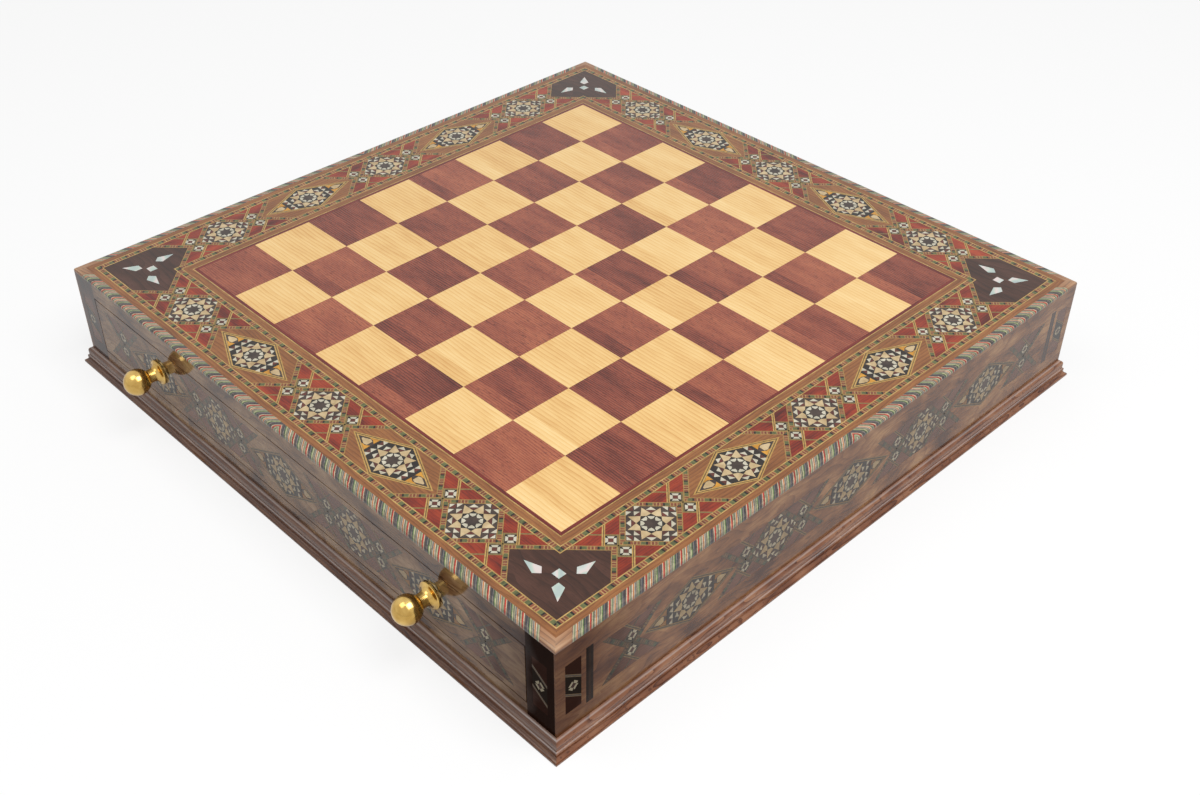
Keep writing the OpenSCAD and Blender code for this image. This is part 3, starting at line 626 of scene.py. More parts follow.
@dataclass(frozen=True)
class Sticks(Finish):
    """Bands of coloured sticks laid end to end, as in the mosaic strips and the edging."""

    order: tuple
    period: float
    rim: str = ""
    rim_share: float = 0.0
    slanting: bool = False
    edge_half: float = 0.0
    top: float = 0.0
    corner_shade: float = 0.0
    grain: float = 700.0
    rough: float = 0.4

    def make(self) -> bpy.types.Material:
        """Builds the material.

        Returns:
            The material.
        """
        shop = Shop(self.name)
        x, y, _ = shop.place()
        if self.rim:
            along, across = shop.lay()
        else:
            side = abs(x) > abs(y)
            along = x + (y - x) * side
            across = abs(y) + (abs(x) - abs(y)) * side
        if self.slanting:
            along = abs(along) - (across - self.edge_half)
        count = along / self.period + COUNT_FROM
        stick, row = (count * len(self.order)).whole(), (across * ROWS).whole()
        shade = shop.chance(stick, row, SHADE_SEED) - MIDDLE
        colour = shop.ramp(count.part(), list(self.order), stepped=True)
        if self.rim:
            edge = abs(across - MIDDLE) > (MIDDLE - self.rim_share)
            colour = shop.mix(edge, colour, tint(self.rim))
        grain = shop.cloud(self.grain, 2.0) - MIDDLE
        stops = [(0.0, "606060"), (0.5, "D8D8D8"), (1.0, "FFFFFF")]
        tone = shop.ramp(MIDDLE + shade * SHADE_SHARE + grain * GRAIN_SHARE, stops)
        colour = shop.mix(1.0, colour, tone, "MULTIPLY")
        if self.slanting:
            # painted highlight and shade on the rounded edge
            colour = RoundedEdge().paint_edge_light(shop, colour, self.top)
        # painted shade towards the front right corner
        colour, lacquer = CornerShade().age(shop, colour, CORNER_SHADE_TINT, self.corner_shade)
        return shop.close(lacquered(colour, self.rough, lacquer))


@dataclass(frozen=True)
class Piece(Finish):
    """One plain material in small pieces, each a little different in tone."""

    dark: str
    light: str
    blotch: float = 420.0
    part: float = 190.0
    part_share: float = 0.45
    corner_shade: float = 0.0
    rough: float = 0.35

    def make(self) -> bpy.types.Material:
        """Builds the material.

        Returns:
            The material.
        """
        shop = Shop(self.name)
        mottle, part = shop.cloud(self.blotch, 3.0), shop.cloud(self.part, 0.0)
        tone = mottle * (1.0 - self.part_share) + part * self.part_share
        colour = shop.ramp(tone, [(0.3, self.dark), (0.7, self.light)])
        # painted shade towards the front right corner
        colour, lacquer = CornerShade().age(shop, colour, self.dark, self.corner_shade)
        return shop.close(lacquered(colour, self.rough, lacquer))


@dataclass(frozen=True)
class Line(Finish):
    """A thin line built of strips side by side, read from edge to edge of the line."""

    layers: tuple
    corner_shade: float = 0.0
    grain: float = 600.0
    rough: float = 0.4

    def make(self) -> bpy.types.Material:
        """Builds the material.

        Returns:
            The material.
        """
        shop = Shop(self.name)
        _, across = shop.lay()
        colour = shop.ramp(across, list(self.layers), stepped=True)
        tone = shop.ramp(shop.cloud(self.grain, 2.0), [(0.25, "CCCCCC"), (0.6, "FFFFFF")])
        colour = shop.mix(1.0, colour, tone, "MULTIPLY")
        # painted shade towards the front right corner
        colour, lacquer = CornerShade().age(shop, colour, CORNER_SHADE_TINT, self.corner_shade)
        return shop.close(lacquered(colour, self.rough, lacquer))


@dataclass(frozen=True)
class Shell(Finish):
    """Mother-of-pearl: soft bands that drift from silver to pink and green."""

    slope: float = 0.6
    bands: float = 300.0
    drift: float = 60.0
    rough: float = 0.22
    metallic: float = 0.15

    def make(self) -> bpy.types.Material:
        """Builds the material.

        Returns:
            The material.
        """
        shop = Shop(self.name)
        x, y, _ = shop.place()
        drift = shop.cloud(self.drift, 2.0)
        bands = ((x + y * self.slope) * self.bands + drift * 9.0).wave() * 0.5 + 0.5
        stops = [(0.0, "93A5A2"), (0.3, "C6CCC6"), (0.5, "D8C8C4"), (0.68, "B4C4B8"), (1.0, "9AA4B0")]
        colour = shop.ramp(bands * 0.6 + drift * 0.4, stops)
        return shop.close({**lacquered(colour, self.rough), "Metallic": self.metallic})


@dataclass(frozen=True)
class Metal(Finish):
    """Turned and polished metal with the faint rings of the tool."""

    colour: str
    deep: str
    rough: float = 0.12
    rough_change: float = 0.08
    clouds: float = 90.0
    rings: float = 9000.0
    ring_depth: float = 0.01 * MM

    def make(self) -> bpy.types.Material:
        """Builds the material.

        Returns:
            The material.
        """
        shop = Shop(self.name)
        _, y, _ = shop.place()
        cloud = shop.cloud(self.clouds, 3.0)
        rings = (y * self.rings + cloud * 6.0).wave() * 0.5 + 0.5
        sockets = {
            # The blotches of the deep colour: uneven tone of the metal, and painted dark reflections.
            "Base Color": shop.ramp(cloud, [(0.3, self.deep), (0.65, self.colour)]),
            "Metallic": 1.0,
            "Roughness": cloud * self.rough_change + self.rough,
            "Normal": shop.bump(rings, self.ring_depth, 0.3),
        }
        return shop.close(sockets)


@dataclass(frozen=True)
class Cloth(Finish):
    """Short-piled cloth, such as velvet or baize."""

    dark: str
    light: str
    sheen: float = 0.6
    sheen_rough: float = 0.4
    rough: float = 0.9
    brushed: float = 26.0
    pile: float = 2600.0
    pile_depth: float = 0.3 * MM

    def make(self) -> bpy.types.Material:
        """Builds the material.

        Returns:
            The material.
        """
        shop = Shop(self.name)
        brushed, pile = shop.cloud(self.brushed, 3.0), shop.cloud(self.pile, 2.0)
        sockets = {
            "Base Color": shop.ramp(brushed * 0.6 + pile * 0.4, [(0.35, self.dark), (0.65, self.light)]),
            "Roughness": self.rough,
            "Sheen Weight": self.sheen,
            "Sheen Roughness": self.sheen_rough,
            "Sheen Tint": tint(self.light),
            "Normal": shop.bump(pile, self.pile_depth, 0.5),
        }
        return shop.close(sockets)


STICK_ORDER = (
    (0.0, "2C2620"),
    (0.12, "96573A"),
    (0.26, "C09A62"),
    (0.33, "8A4832"),
    (0.46, "C09A62"),
    (0.52, "96573A"),
    (0.65, "B48F58"),
    (0.72, "6C7044"),
)
# Darker copies of the stick colours for the walls and drawer fronts: painted shade.
WALL_STICK_ORDER = (
    (0.0, "302A24"),
    (0.12, "60442F"),
    (0.26, "78603E"),
    (0.33, "583C2C"),
    (0.46, "78603E"),
    (0.52, "60442F"),
    (0.65, "70583A"),
    (0.72, "4E5038"),
)
EDGE_ORDER = (
    (0.0, "525056"),
    (0.09, "969080"),
    (0.13, "4A4A50"),
    (0.19, "7E985C"),
    (0.25, "D0C4A2"),
    (0.3, "748664"),
    (0.36, "B4A28A"),
    (0.41, "666A72"),
    (0.46, "D6C4A6"),
    (0.5, "C67844"),
    (0.56, "DED0B6"),
    (0.61, "94806E"),
    (0.66, "869E76"),
    (0.71, "CEBA9A"),
    (0.76, "785444"),
    (0.8, "CE4028"),
    (0.87, "D8C8AC"),
    (0.92, "66544C"),
)


class Stuff(Enum):
    """What a small piece of the marquetry is made of."""

    EBONY = "ebony"
    BONE = "bone"
    CREAM = "cream bone"
    BROWN = "red-brown wood"
    ORANGE = "orange wood"
    UMBER = "umber wood"
    PADAUK = "padauk"
    STICKS = "mosaic sticks"
    GOLD_LINE = "gold line"
    OLIVE_LINE = "olive line"
    WALL_LINE = "upright line"


class Palette(Enum):
    """The finish of each stuff on the board, and darker copies of them on the walls and drawer fronts as
    painted shade.
    """

    BOARD = {
        Stuff.EBONY: Piece("ebony", "1A1411", "2C241F"),
        Stuff.BONE: Piece("bone", "AAA48F", "CCC6B2"),
        Stuff.CREAM: Piece("cream_bone", "A88E64", "CCB68E"),
        Stuff.BROWN: Piece("red_brown_wood", "44221A", "6A3226"),
        Stuff.ORANGE: Piece("orange_wood", "AC7420", "D69C38"),
        Stuff.UMBER: Piece("umber_wood", "2E231E", "4A3C34"),
        Stuff.PADAUK: Wood("padauk_pieces", "48120A", "842A14", "A4401E", Run.ROUND, ring=1.6 * MM,
                           wander=1.6, lines=0.22, figure=0.9, pores=0.4, corner_shade=0.35),
        Stuff.STICKS: Sticks("mosaic_sticks", STICK_ORDER, 8.4 * MM, "BA9252", 0.15),
        Stuff.GOLD_LINE: Line("gold_line", ((0.0, "B8924E"), (0.34, "644828"), (0.62, "BE9A58"))),
        Stuff.OLIVE_LINE: Line("olive_line", ((0.0, "A08448"), (0.22, "6C6140"), (0.78, "A08448"))),
        Stuff.WALL_LINE: Line("upright_line", ((0.0, "2C1A12"), (0.34, "5E3C26"), (0.62, "2C1A12"))),
    }
    # Darker, duller copies of the board's stuffs for the walls and drawer fronts: painted shade, as less
    # light falls there.
    WALL = {
        Stuff.EBONY: Piece("wall_ebony", "1C1510", "2C241E", corner_shade=0.95),
        Stuff.BONE: Piece("wall_bone", "7C725E", "9C927C", corner_shade=0.7),
        Stuff.CREAM: Piece("wall_cream_bone", "7A6648", "96805C", corner_shade=0.7),
        Stuff.BROWN: Piece("wall_red_brown_wood", "2E1B15", "46281E", corner_shade=0.7),
        Stuff.ORANGE: Piece("wall_orange_wood", "62401C", "7E5628", corner_shade=0.7),
        Stuff.UMBER: Piece("wall_umber_wood", "2E2019", "423026", corner_shade=0.7),
        Stuff.PADAUK: Wood("wall_padauk", "22100A", "5C392B", "704C3B", Run.ROUND, ring=1.6 * MM,
                           wander=1.6, lines=0.22, figure=0.5, corner_shade=0.95),
        Stuff.STICKS: Sticks("wall_sticks", WALL_STICK_ORDER, 8.4 * MM, "54422A", 0.16, corner_shade=0.7),
        Stuff.GOLD_LINE: Line("wall_gold_line", ((0.0, "6E5634"), (0.34, "2C2018"), (0.62, "6E5634")),
                              corner_shade=0.5),
        Stuff.OLIVE_LINE: Line("wall_olive_line", ((0.0, "4E4028"), (0.22, "332A1E"), (0.78, "4E4028")),
                               corner_shade=0.5),
        Stuff.WALL_LINE: Line("wall_upright_line", ((0.0, "2C180F"), (0.34, "4A2C1C"), (0.62, "2C180F")),
                              corner_shade=0.9),
    }


# ---------------------------------------------------------------- marquetry

POINTS = 8  # of a rosette
POINT = 360 / POINTS  # degrees from one point to the next
HAIR = 0.02 * MM  # how much lower each layer of a tiling lies
MOVE_ON = 2.1 * MM  # how far each slanting strip's pattern is moved on from the last
PLAIN_LAY = [(0, 0), (0.01, 0), (0.01, 1), (0, 1)]  # for a line that is the same all along


def spun(at: Matrix, degrees: float) -> Matrix:
    """A place turned in its own plane."""
    return at @ Matrix.Rotation(math.radians(degrees), 4, "Z")


def mirrored(at: Matrix, sx: int, sy: int) -> Matrix:
    """A place mirrored in its own plane, where sx or sy is -1."""
    return at @ Matrix.Diagonal((sx, sy, 1, 1))


def at_u(u: float) -> Matrix:
    """A place along the band's middle line."""
    return Matrix.Translation((u, 0, 0))


def slant(a: float, b: float) -> tuple[float, float]:
    """A place from its distances along the two slants."""
    return ((a - b) / 2, (a + b) / 2)


def scaled(corners: list) -> list[tuple[float, float]]:
    """Corners given in millimetres, in metres."""
    return [(x * MM, y * MM) for x, y in corners]


def octagon(radius: float) -> list[tuple[float, float]]:
    """Corners of an octagon, the first straight ahead."""
    turns = [math.radians(k * POINT) for k in range(POINTS)]
    return [(radius * math.cos(turn), radius * math.sin(turn)) for turn in turns]


def kite(near: float, far: float, half: float, tip: float) -> list[tuple[float, float]]:
    """Corners of a four-cornered piece, two on its middle line and two beside it."""
    return [(near, 0), (far, half), (tip, 0), (far, -half)]


class Tiling:
    """Small flat pieces laid face up at height 0, for stamping onto the box."""

    def __init__(self, thickness: float) -> None:
        """Starts an empty tiling.

        Args:
            thickness: How deep each piece goes.
        """
        self.thickness = thickness
        self.bm = bmesh.new()
        self.uv = self.bm.loops.layers.uv.new("lay")

    def piece(
        self, at: Matrix, corners: list, stuff: Stuff, layer: int = 0, lay: list | None = None
    ) -> None:
        """Lays one piece.

        Args:
            at: Where the piece's own plane lies.
            corners: Its corners, in order, in its own plane.
            stuff: What it is made of.
            layer: How many hairs it lies below the top, where pieces share a place.
            lay: Places along and across the piece for each corner, where its pattern needs them.
        """
        verts = [self.bm.verts.new(at @ Vector((x, y, -HAIR * layer))) for x, y in corners]
        face = self.bm.faces.new(verts)
        face.normal_update()
        if face.normal.z < 0:
            face.normal_flip()
        face.material_index = list(Stuff).index(stuff)
        if lay:
            for loop in face.loops:
                loop[self.uv].uv = lay[verts.index(loop.vert)]

    def template(self) -> bpy.types.Mesh:
        """Gives the pieces their thickness.

        Returns:
            A mesh of closed pieces.
        """
        lids = list(self.bm.faces)
        grown = bmesh.ops.extrude_face_region(self.bm, geom=lids, use_keep_orig=True)
        low = [part for part in grown["geom"] if isinstance(part, bmesh.types.BMVert)]
        bmesh.ops.translate(self.bm, verts=low, vec=(0, 0, -self.thickness))
        bmesh.ops.recalc_face_normals(self.bm, faces=self.bm.faces)
        mesh = bpy.data.meshes.new("tiling")
        self.bm.to_mesh(mesh)
        self.bm.free()
        return mesh


@dataclass(frozen=True)
class Laid:
    """What one piece of marquetry is: its name, body, finishes, slot and the solids it stands for."""

    name: str
    body: str
    palette: Palette
    slot: str
    nodes: tuple


def stamp(laid: Laid, *runs: tuple) -> bpy.types.Object:
    """Copies tilings onto the faces of the box as one piece.

    Args:
        laid: What the piece is.
        runs: Pairs of a tiling and the places where its copies go.

    Returns:
        The new piece.
    """
    bm = bmesh.new()
    for mesh, places in runs:
        for place in places:
            known = len(bm.verts)
            bm.from_mesh(mesh)
            bm.verts.ensure_lookup_table()
            bmesh.ops.transform(bm, matrix=place, verts=bm.verts[known:])
    bmesh.ops.recalc_face_normals(bm, faces=bm.faces)
    done = bpy.data.meshes.new(laid.name)
    used = sorted({face.material_index for face in bm.faces})
    for face in bm.faces:
        face.material_index = used.index(face.material_index)
    bm.to_mesh(done)
    bm.free()
    for index in used:
        done.materials.append(finish(laid.palette.value[list(Stuff)[index]]))
    return settle(bpy.data.objects.new(laid.name, done), laid.body, laid.slot, *laid.nodes)


def settle(piece: bpy.types.Object, body: str, slot: str, *nodes: str) -> bpy.types.Object:
    """Puts a finished piece in the scene and on its body.

    Args:
        piece: The piece.
        body: The body that carries it.
        slot: The record's material slot for the piece; not used.
        nodes: The solids that it stands for.

    Returns:
        The piece.
    """
    bpy.context.scene.collection.objects.link(piece)
    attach(piece, body)
    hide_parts(*nodes)
    return piece


MADE: dict[str, bpy.types.Material] = {}


def finish(kind: Finish) -> bpy.types.Material:
    """The material of a finish, built once.

    Args:
        kind: The finish.

    Returns:
        Its material.
    """
    if kind.name not in MADE:
        MADE[kind.name] = kind.make()
    return MADE[kind.name]


def dress(kind: Finish, *nodes: str) -> None:
    """Gives solids a finish.

    Args:
        kind: The finish.
        nodes: The solids' names.
    """
    for node in nodes:
        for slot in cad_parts[node].material_slots:
            slot.material = finish(kind)


@dataclass(frozen=True)
class BandPlan:
    """The layout of one run of the star band, measured along it and across it."""

    width: float = 30.0 * MM
    star_reach: float = 17.4 * MM
    strip_w: float = 3.0 * MM
    web: float = 0.6 * MM
    waist: float = 3.8 * MM
    lozenge_gap: float = 2.5 * MM
    lozenge_cut: float = 0.4 * MM
    small_r: float = 4.4 * MM
    line_w: float = 0.9 * MM
    joint: float = 0.03 * MM
    gold_w: float = 1.6 * MM
    border_w: float = 1.9 * MM
    outer: float = field(default_factory=lambda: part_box("top_corner_panels")[1].x)

    @property
    def half(self) -> float:
        """Half of the band's width."""
        return self.width / 2

    @property
    def inner(self) -> float:
        """Distance from the middle of the board to the band's inner edge."""
        return self.outer - self.width

    @property
    def middle(self) -> float:
        """Distance from the middle of the board to the band's middle."""
        return self.outer - self.half

    @property
    def strip(self) -> float:
        """Width of a slanting strip, measured along the band."""
        return self.strip_w * ROOT_2

    @property
    def square_end(self) -> float:
        """Half length of a star square with its strips."""
        return self.star_reach + self.strip

    @property
    def near_pair(self) -> float:
        """Distance from a star square's middle to the pair beside it."""
        return self.square_end + self.web

    @property
    def last_pair(self) -> float:
        """Distance from the run's middle to the pair beside the corner."""
        return self.inner - self.half - self.strip - self.web - self.waist

    @property
    def pitch(self) -> float:
        """Distance from a star square to the next lozenge."""
        return (self.last_pair - self.near_pair) / 2

    @property
    def far_pair(self) -> float:
        """Distance from a lozenge's middle to the pair beside it."""
        return self.pitch - self.near_pair

    @property
    def lozenge_end(self) -> float:
        """Half length of a lozenge with its grounds and strips."""
        return self.far_pair - self.web

    @property
    def lozenge_tip(self) -> float:
        """Half length of a lozenge."""
        return self.lozenge_end - self.strip - self.lozenge_gap

    @property
    def lozenge_inside(self) -> tuple[float, float]:
        """Half length and half width of a lozenge inside its double line."""
        angle = math.atan2(self.lozenge_half, self.lozenge_tip)
        tip, side = self.border_w / math.sin(angle), self.border_w / math.cos(angle)
        return self.lozenge_tip - tip, self.lozenge_half - side

    @property
    def lozenge_half(self) -> float:
        """Half width of a lozenge before the band cuts its blunt tips."""
        return self.half + self.lozenge_cut

    @property
    def row_pairs(self) -> list[float]:
        """Middles of the pairs on a wall or a drawer."""
        near, far = self.far_pair, 2 * self.pitch
        return [s * u for s in (-1, 1) for u in (near, far - near, far + near)]

    @property
    def top_pairs(self) -> list[float]:
        """Middles of the pairs on one side of the board."""
        spots = (self.near_pair, 2 * self.pitch - self.near_pair, self.last_pair)
        return [s * u for s in (-1, 1) for u in spots]


class StarBand:
    """Draws the panels of the star band, piece by piece."""

    def __init__(self, plan: BandPlan) -> None:
        """Keeps the layout.

        Args:
            plan: The band's layout.
        """
        self.plan = plan

    def rosette(self, tiling: Tiling, at: Matrix, turn: float) -> None:
        """Lays an eight-pointed star of cream kites round a toothed ring.

        Args:
            tiling: Where the pieces are laid.
            at: The star's middle.
            turn: How far the first kite is turned, in degrees.
        """
        reach, shoulder, start, heart = 12.2 * MM, 7.2 * MM, 5.8 * MM, 3.6 * MM
        lean = math.radians(POINT / 2)
        cream = kite(start, shoulder * math.cos(lean), shoulder * math.sin(lean), reach)
        tooth = scaled([(3.0, 0), (3.9, -1.3), (5.2, -1.75), (5.2, 1.75), (3.9, 1.3)])
        tiling.piece(spun(at, turn + POINT / 2), octagon(shoulder), Stuff.EBONY, 2)
        tiling.piece(spun(at, turn), octagon(heart), Stuff.UMBER, 1)
        for k in range(POINTS):
            tiling.piece(spun(at, turn + k * POINT), cream, Stuff.CREAM, 1)
            tiling.piece(spun(at, turn + (k + 0.5) * POINT), tooth, Stuff.BONE)

    def triangles(self, tiling: Tiling, at: Matrix, rows: list) -> None:
        """Lays a pile of small triangles that points away from a star's middle.

        Args:
            tiling: Where the pieces are laid.
            at: The star's middle, turned to the pile's direction.
            rows: For each triangle its distance, shift, half width and height, in millimetres, and
                its stuff. With a height below 0 the triangle points inwards.
        """
        for out, shift, half, height, stuff in rows:
            base, tip = (out, out + height) if height > 0 else (out - height, out)
            corners = [(base, shift - half), (base, shift + half), (tip, shift)]
            tiling.piece(at, scaled(corners), stuff, 1)

    def star_square(self, tiling: Tiling, at: Matrix) -> None:
        """Lays one star square, cut off by the band's edges.

        Args:
            tiling: Where the pieces are laid.
            at: The square's middle.
        """
        reach, half = self.plan.star_reach, self.plan.half
        cut = reach - half
        ground = [(reach, 0), (cut, half), (-cut, half), (-reach, 0), (-cut, -half), (cut, -half)]
        tiling.piece(at, ground, Stuff.UMBER, 3)
        self.rosette(tiling, at, POINT / 2)
        low = [(7.4, 0, 2.0, -2.2, Stuff.BROWN), (9.7, 0, 2.0, 2.2, Stuff.BONE)]
        high = [
            (12.5, -2.9, 1.9, 2.3, Stuff.BONE),
            (12.5, 2.9, 1.9, 2.3, Stuff.BONE),
            (12.5, 0, 2.2, -2.3, Stuff.BROWN),
        ]
        point = [(15.0, 0, 1.8, 1.9, Stuff.BONE)]
        diagonal = [(7.4, 0, 2.5, -2.2, Stuff.BROWN), (9.7, 0, 2.5, 2.3, Stuff.BONE)]
        for k in range(POINTS):
            way = spun(at, k * POINT)
            if k % 2:
                self.triangles(tiling, way, diagonal)
            else:
                self.triangles(tiling, way, low + high + (point if k % 4 == 0 else []))

    def lozenge(self, tiling: Tiling, at: Matrix) -> None:
        """Lays one lozenge inside its line.

        Args:
            tiling: Where the pieces are laid.
            at: The lozenge's middle.
        """
        plan = self.plan
        tip, side = plan.lozenge_inside
        tiling.piece(at, kite(tip, 0, side, -tip), Stuff.UMBER, 4)
        end = 15.4 * MM
        rise = side * (1 - end / tip)
        hexagon = [(end, rise), (0, side), (-end, rise), (-end, -rise), (0, -side), (end, -rise)]
        tiling.piece(at, hexagon, Stuff.EBONY, 3)
        self.rosette(tiling, at, 0.0)
        between = [(7.4, 0, 2.1, -2.0, Stuff.BROWN), (9.5, 0, 2.25, 2.2, Stuff.BONE)]
        row = [(12.6, s * v, 1.9, 2.6, Stuff.BONE) for s in (-1, 1) for v in (2.1, 6.1)]
        row += [(12.5, s * 4.1, 1.7, -2.6, Stuff.BROWN) for s in (-1, 1)]
        for k in range(POINTS):
            self.triangles(tiling, spun(at, (k + 0.5) * POINT), between)
        for turn in (0, 180):
            way = spun(at, turn)
            self.triangles(tiling, way, row)
            self.lozenge_point(tiling, way, end, rise)

    def lozenge_point(self, tiling: Tiling, way: Matrix, end: float, rise: float) -> None:
        """Lays the long point of a lozenge: a bar, a cream kite and an orange wedge on each side.

        Args:
            tiling: Where the pieces are laid.
            way: The lozenge's middle, turned to the point.
            end: Where the point starts.
            rise: Half of its width there.
        """
        tip, side = self.plan.lozenge_inside
        bar_end, bar_rise = end + 1.2 * MM, rise * 0.93
        bar = [(end, -rise), (end, rise), (bar_end, bar_rise), (bar_end, -bar_rise)]
        tiling.piece(way, bar, Stuff.EBONY, 1)
        cream = [(18.9, -1.8), (18.9, 1.8), (20.9, 2.4), (25.2, 0.4), (25.2, -0.4), (20.9, -2.4)]
        tiling.piece(way, scaled(cream), Stuff.CREAM, 1)
        near, far = end + 1.6 * MM, 22.4 * MM
        wide, narrow = (0.97 * side * (1 - x / tip) for x in (near, far))
        wedge = [(near, 1.1 * MM), (near, wide), (far, narrow), (19.6 * MM, 2.7 * MM)]
        for sy in (-1, 1):
            tiling.piece(mirrored(way, 1, sy), wedge, Stuff.ORANGE, 1)

    def small_star(self, tiling: Tiling, at: Matrix, ground: list) -> None:
        """Lays a small star: a brown diamond with four bone pieces round it.

        Args:
            tiling: Where the pieces are laid.
            at: The star's middle.
            ground: The corners of the ebony under it.
        """
        tiling.piece(at, ground, Stuff.EBONY, 2)
        core = 1.7 * MM
        tiling.piece(at, kite(core, 0, core, -core), Stuff.BROWN, 1)
        bone = scaled([(1.3, -1.2), (2.7, -1.75), (2.7, 1.75), (1.3, 1.2)])
        for turn in (45, 135, 225, 315):
            tiling.piece(spun(at, turn), bone, Stuff.BONE, 1)

    def pair(self, tiling: Tiling, at: Matrix) -> None:
        """Lays the two small stars of a pair.

        Args:
            tiling: Where the pieces are laid.
            at: The pair's middle.
        """
        plan = self.plan
        r = plan.small_r
        up = plan.joint - plan.web + plan.line_w * ROOT_2 + r
        for s in (-1, 1):
            spot = at @ Matrix.Translation((0, s * up, 0))
            self.small_star(tiling, spot, kite(r, 0, r, -r))

    def arm(self, tiling: Tiling, at: Matrix, start: float, step: int) -> None:
        """Lays one slanting strip, from the band's middle line to its edge.

        Args:
            tiling: Where the pieces are laid.
            at: The panel's middle, mirrored to the strip's quarter.
            start: Where the strip's inner corner is along the band.
            step: Which strip it is, which shifts its pattern.
        """
        strip, half = self.plan.strip, self.plan.half
        along = half * ROOT_2
        shift = MOVE_ON * step
        corners = [(start, 0), (start + strip, 0), (start + strip - half, half), (start - half, half)]
        slip = strip / ROOT_2
        lay = [(shift + slip, 0), (shift, 1), (shift + along, 1), (shift + along + slip, 0)]
        tiling.piece(at, corners, Stuff.STICKS, 0, lay)

    def arms(self, tiling: Tiling, at: Matrix, end: float) -> None:
        """Lays the four slanting strips round a panel.

        Args:
            tiling: Where the pieces are laid.
            at: The panel's middle.
            end: Half length of the panel with its strips.
        """
        for step, (sx, sy) in enumerate(((1, 1), (-1, 1), (-1, -1), (1, -1))):
            self.arm(tiling, mirrored(at, sx, sy), end - self.plan.strip, step)

    def closing_arms(self, tiling: Tiling, start: float) -> None:
        """Lays the strips that close a run at its two ends.

        Args:
            tiling: Where the pieces are laid.
            start: Where their inner corners are, from the run's middle.
        """
        strip, half = self.plan.strip, self.plan.half
        slip, along = strip / ROOT_2, half * ROOT_2
        corners = [(start, 0), (start + strip, 0), (start + strip + half, half), (start + half, half)]
        lay = [(0, 0), (slip, 1), (slip + along, 1), (along, 0)]
        for sx in (-1, 1):
            for sy in (-1, 1):
                tiling.piece(mirrored(Matrix(), sx, sy), corners, Stuff.STICKS, 0, lay)

    def pair_lines(self, tiling: Tiling, at: Matrix, gold_leans: int) -> None:
        """Lays the thin lines round a pair of small stars.

        Args:
            tiling: Where the pieces are laid.
            at: The pair's middle.
            gold_leans: 1 where the double lines rise along the band, -1 where they fall.
        """
        plan = self.plan
        low = plan.joint - plan.web
        line = plan.line_w * ROOT_2
        inner, outer = low + line, low + line + 2 * plan.small_r
        high, edge = outer + line, plan.width

        rising = (  # lines along which the first distance changes
            ([(low, outer), (edge - outer, outer), (edge - high, high), (low, high)], True),
            ([(inner, low), (outer, low), (outer, inner), (inner, inner)], False),
        )
        falling = (
            ([(outer, low), (outer, edge - outer), (high, edge - high), (high, low)], True),
            ([(low, low), (low, outer), (inner, outer), (inner, low)], False),
        )
        more = (plan.gold_w - plan.line_w) / ROOT_2
        for sy in (-1, 1):
            here = mirrored(at, 1, sy)
            for lines, leans in ((rising, 1), (falling, -1)):
                for corners, outside in lines:
                    double = outside and leans * sy == gold_leans
                    if double:
                        corners = self.widened(corners, leans, more)
                    stuff, layer = (Stuff.GOLD_LINE, 0) if double else (Stuff.OLIVE_LINE, 1)
                    tiling.piece(here, [slant(a, b) for a, b in corners], stuff, layer, PLAIN_LAY)

    def widened(self, corners: list, leans: int, more: float) -> list:
        """Makes one of a pair's lines wider on both sides.

        Args:
            corners: The line's corners, as distances along the two slants.
            leans: 1 where the line rises along the band, -1 where it falls.
            more: How much is added on each side.

        Returns:
            The new corners.
        """
        (a0, b0), (a1, b1), (a2, b2), (a3, b3) = corners
        if leans > 0:
            return [(a0, b0 - more), (a1 + more, b1 - more), (a2 - more, b2 + more), (a3, b3 + more)]
        return [(a0 - more, b0), (a1 - more, b1 + more), (a2 + more, b2 - more), (a3 + more, b3)]

    def padauk(self, tiling: Tiling, at: Matrix) -> None:
        """Lays the padauk pieces round a pair of small stars.

        Args:
            tiling: Where the pieces are laid.
            at: The pair's middle.
        """
        plan = self.plan
        low = plan.joint - plan.web
        outer = low + plan.line_w * ROOT_2 + 2 * plan.small_r
        high, edge = outer + plan.line_w * ROOT_2, plan.width
        wing = [(low, high), (outer, high), (outer, edge - outer), (low, edge - low)]
        middle = [(high, high), (edge - high, high), (high, edge - high)]
        for sy in (-1, 1):
            tiling.piece(mirrored(at, 1, sy), [slant(a, b) for a, b in middle], Stuff.PADAUK, 2)
            for sx in (-1, 1):
                tiling.piece(mirrored(at, sx, sy), [slant(a, b) for a, b in wing], Stuff.PADAUK, 2)

    def lozenge_lines(self, tiling: Tiling, at: Matrix) -> None:
        """Lays the double line round a lozenge.

        Args:
            tiling: Where the pieces are laid.
            at: The lozenge's middle.
        """
        plan = self.plan
        tip, side = plan.lozenge_inside
        cut = plan.lozenge_tip * (1 - plan.half / plan.lozenge_half)
        corners = [(plan.lozenge_tip, 0), (cut, plan.half), (0, plan.half), (0, side), (tip, 0)]
        lay = [(0, 0), (0.03, 0), (0.031, 0.3), (0.031, 1), (0, 1)]
        for sx in (-1, 1):
            for sy in (-1, 1):
                tiling.piece(mirrored(at, sx, sy), corners, Stuff.GOLD_LINE, 0, lay)


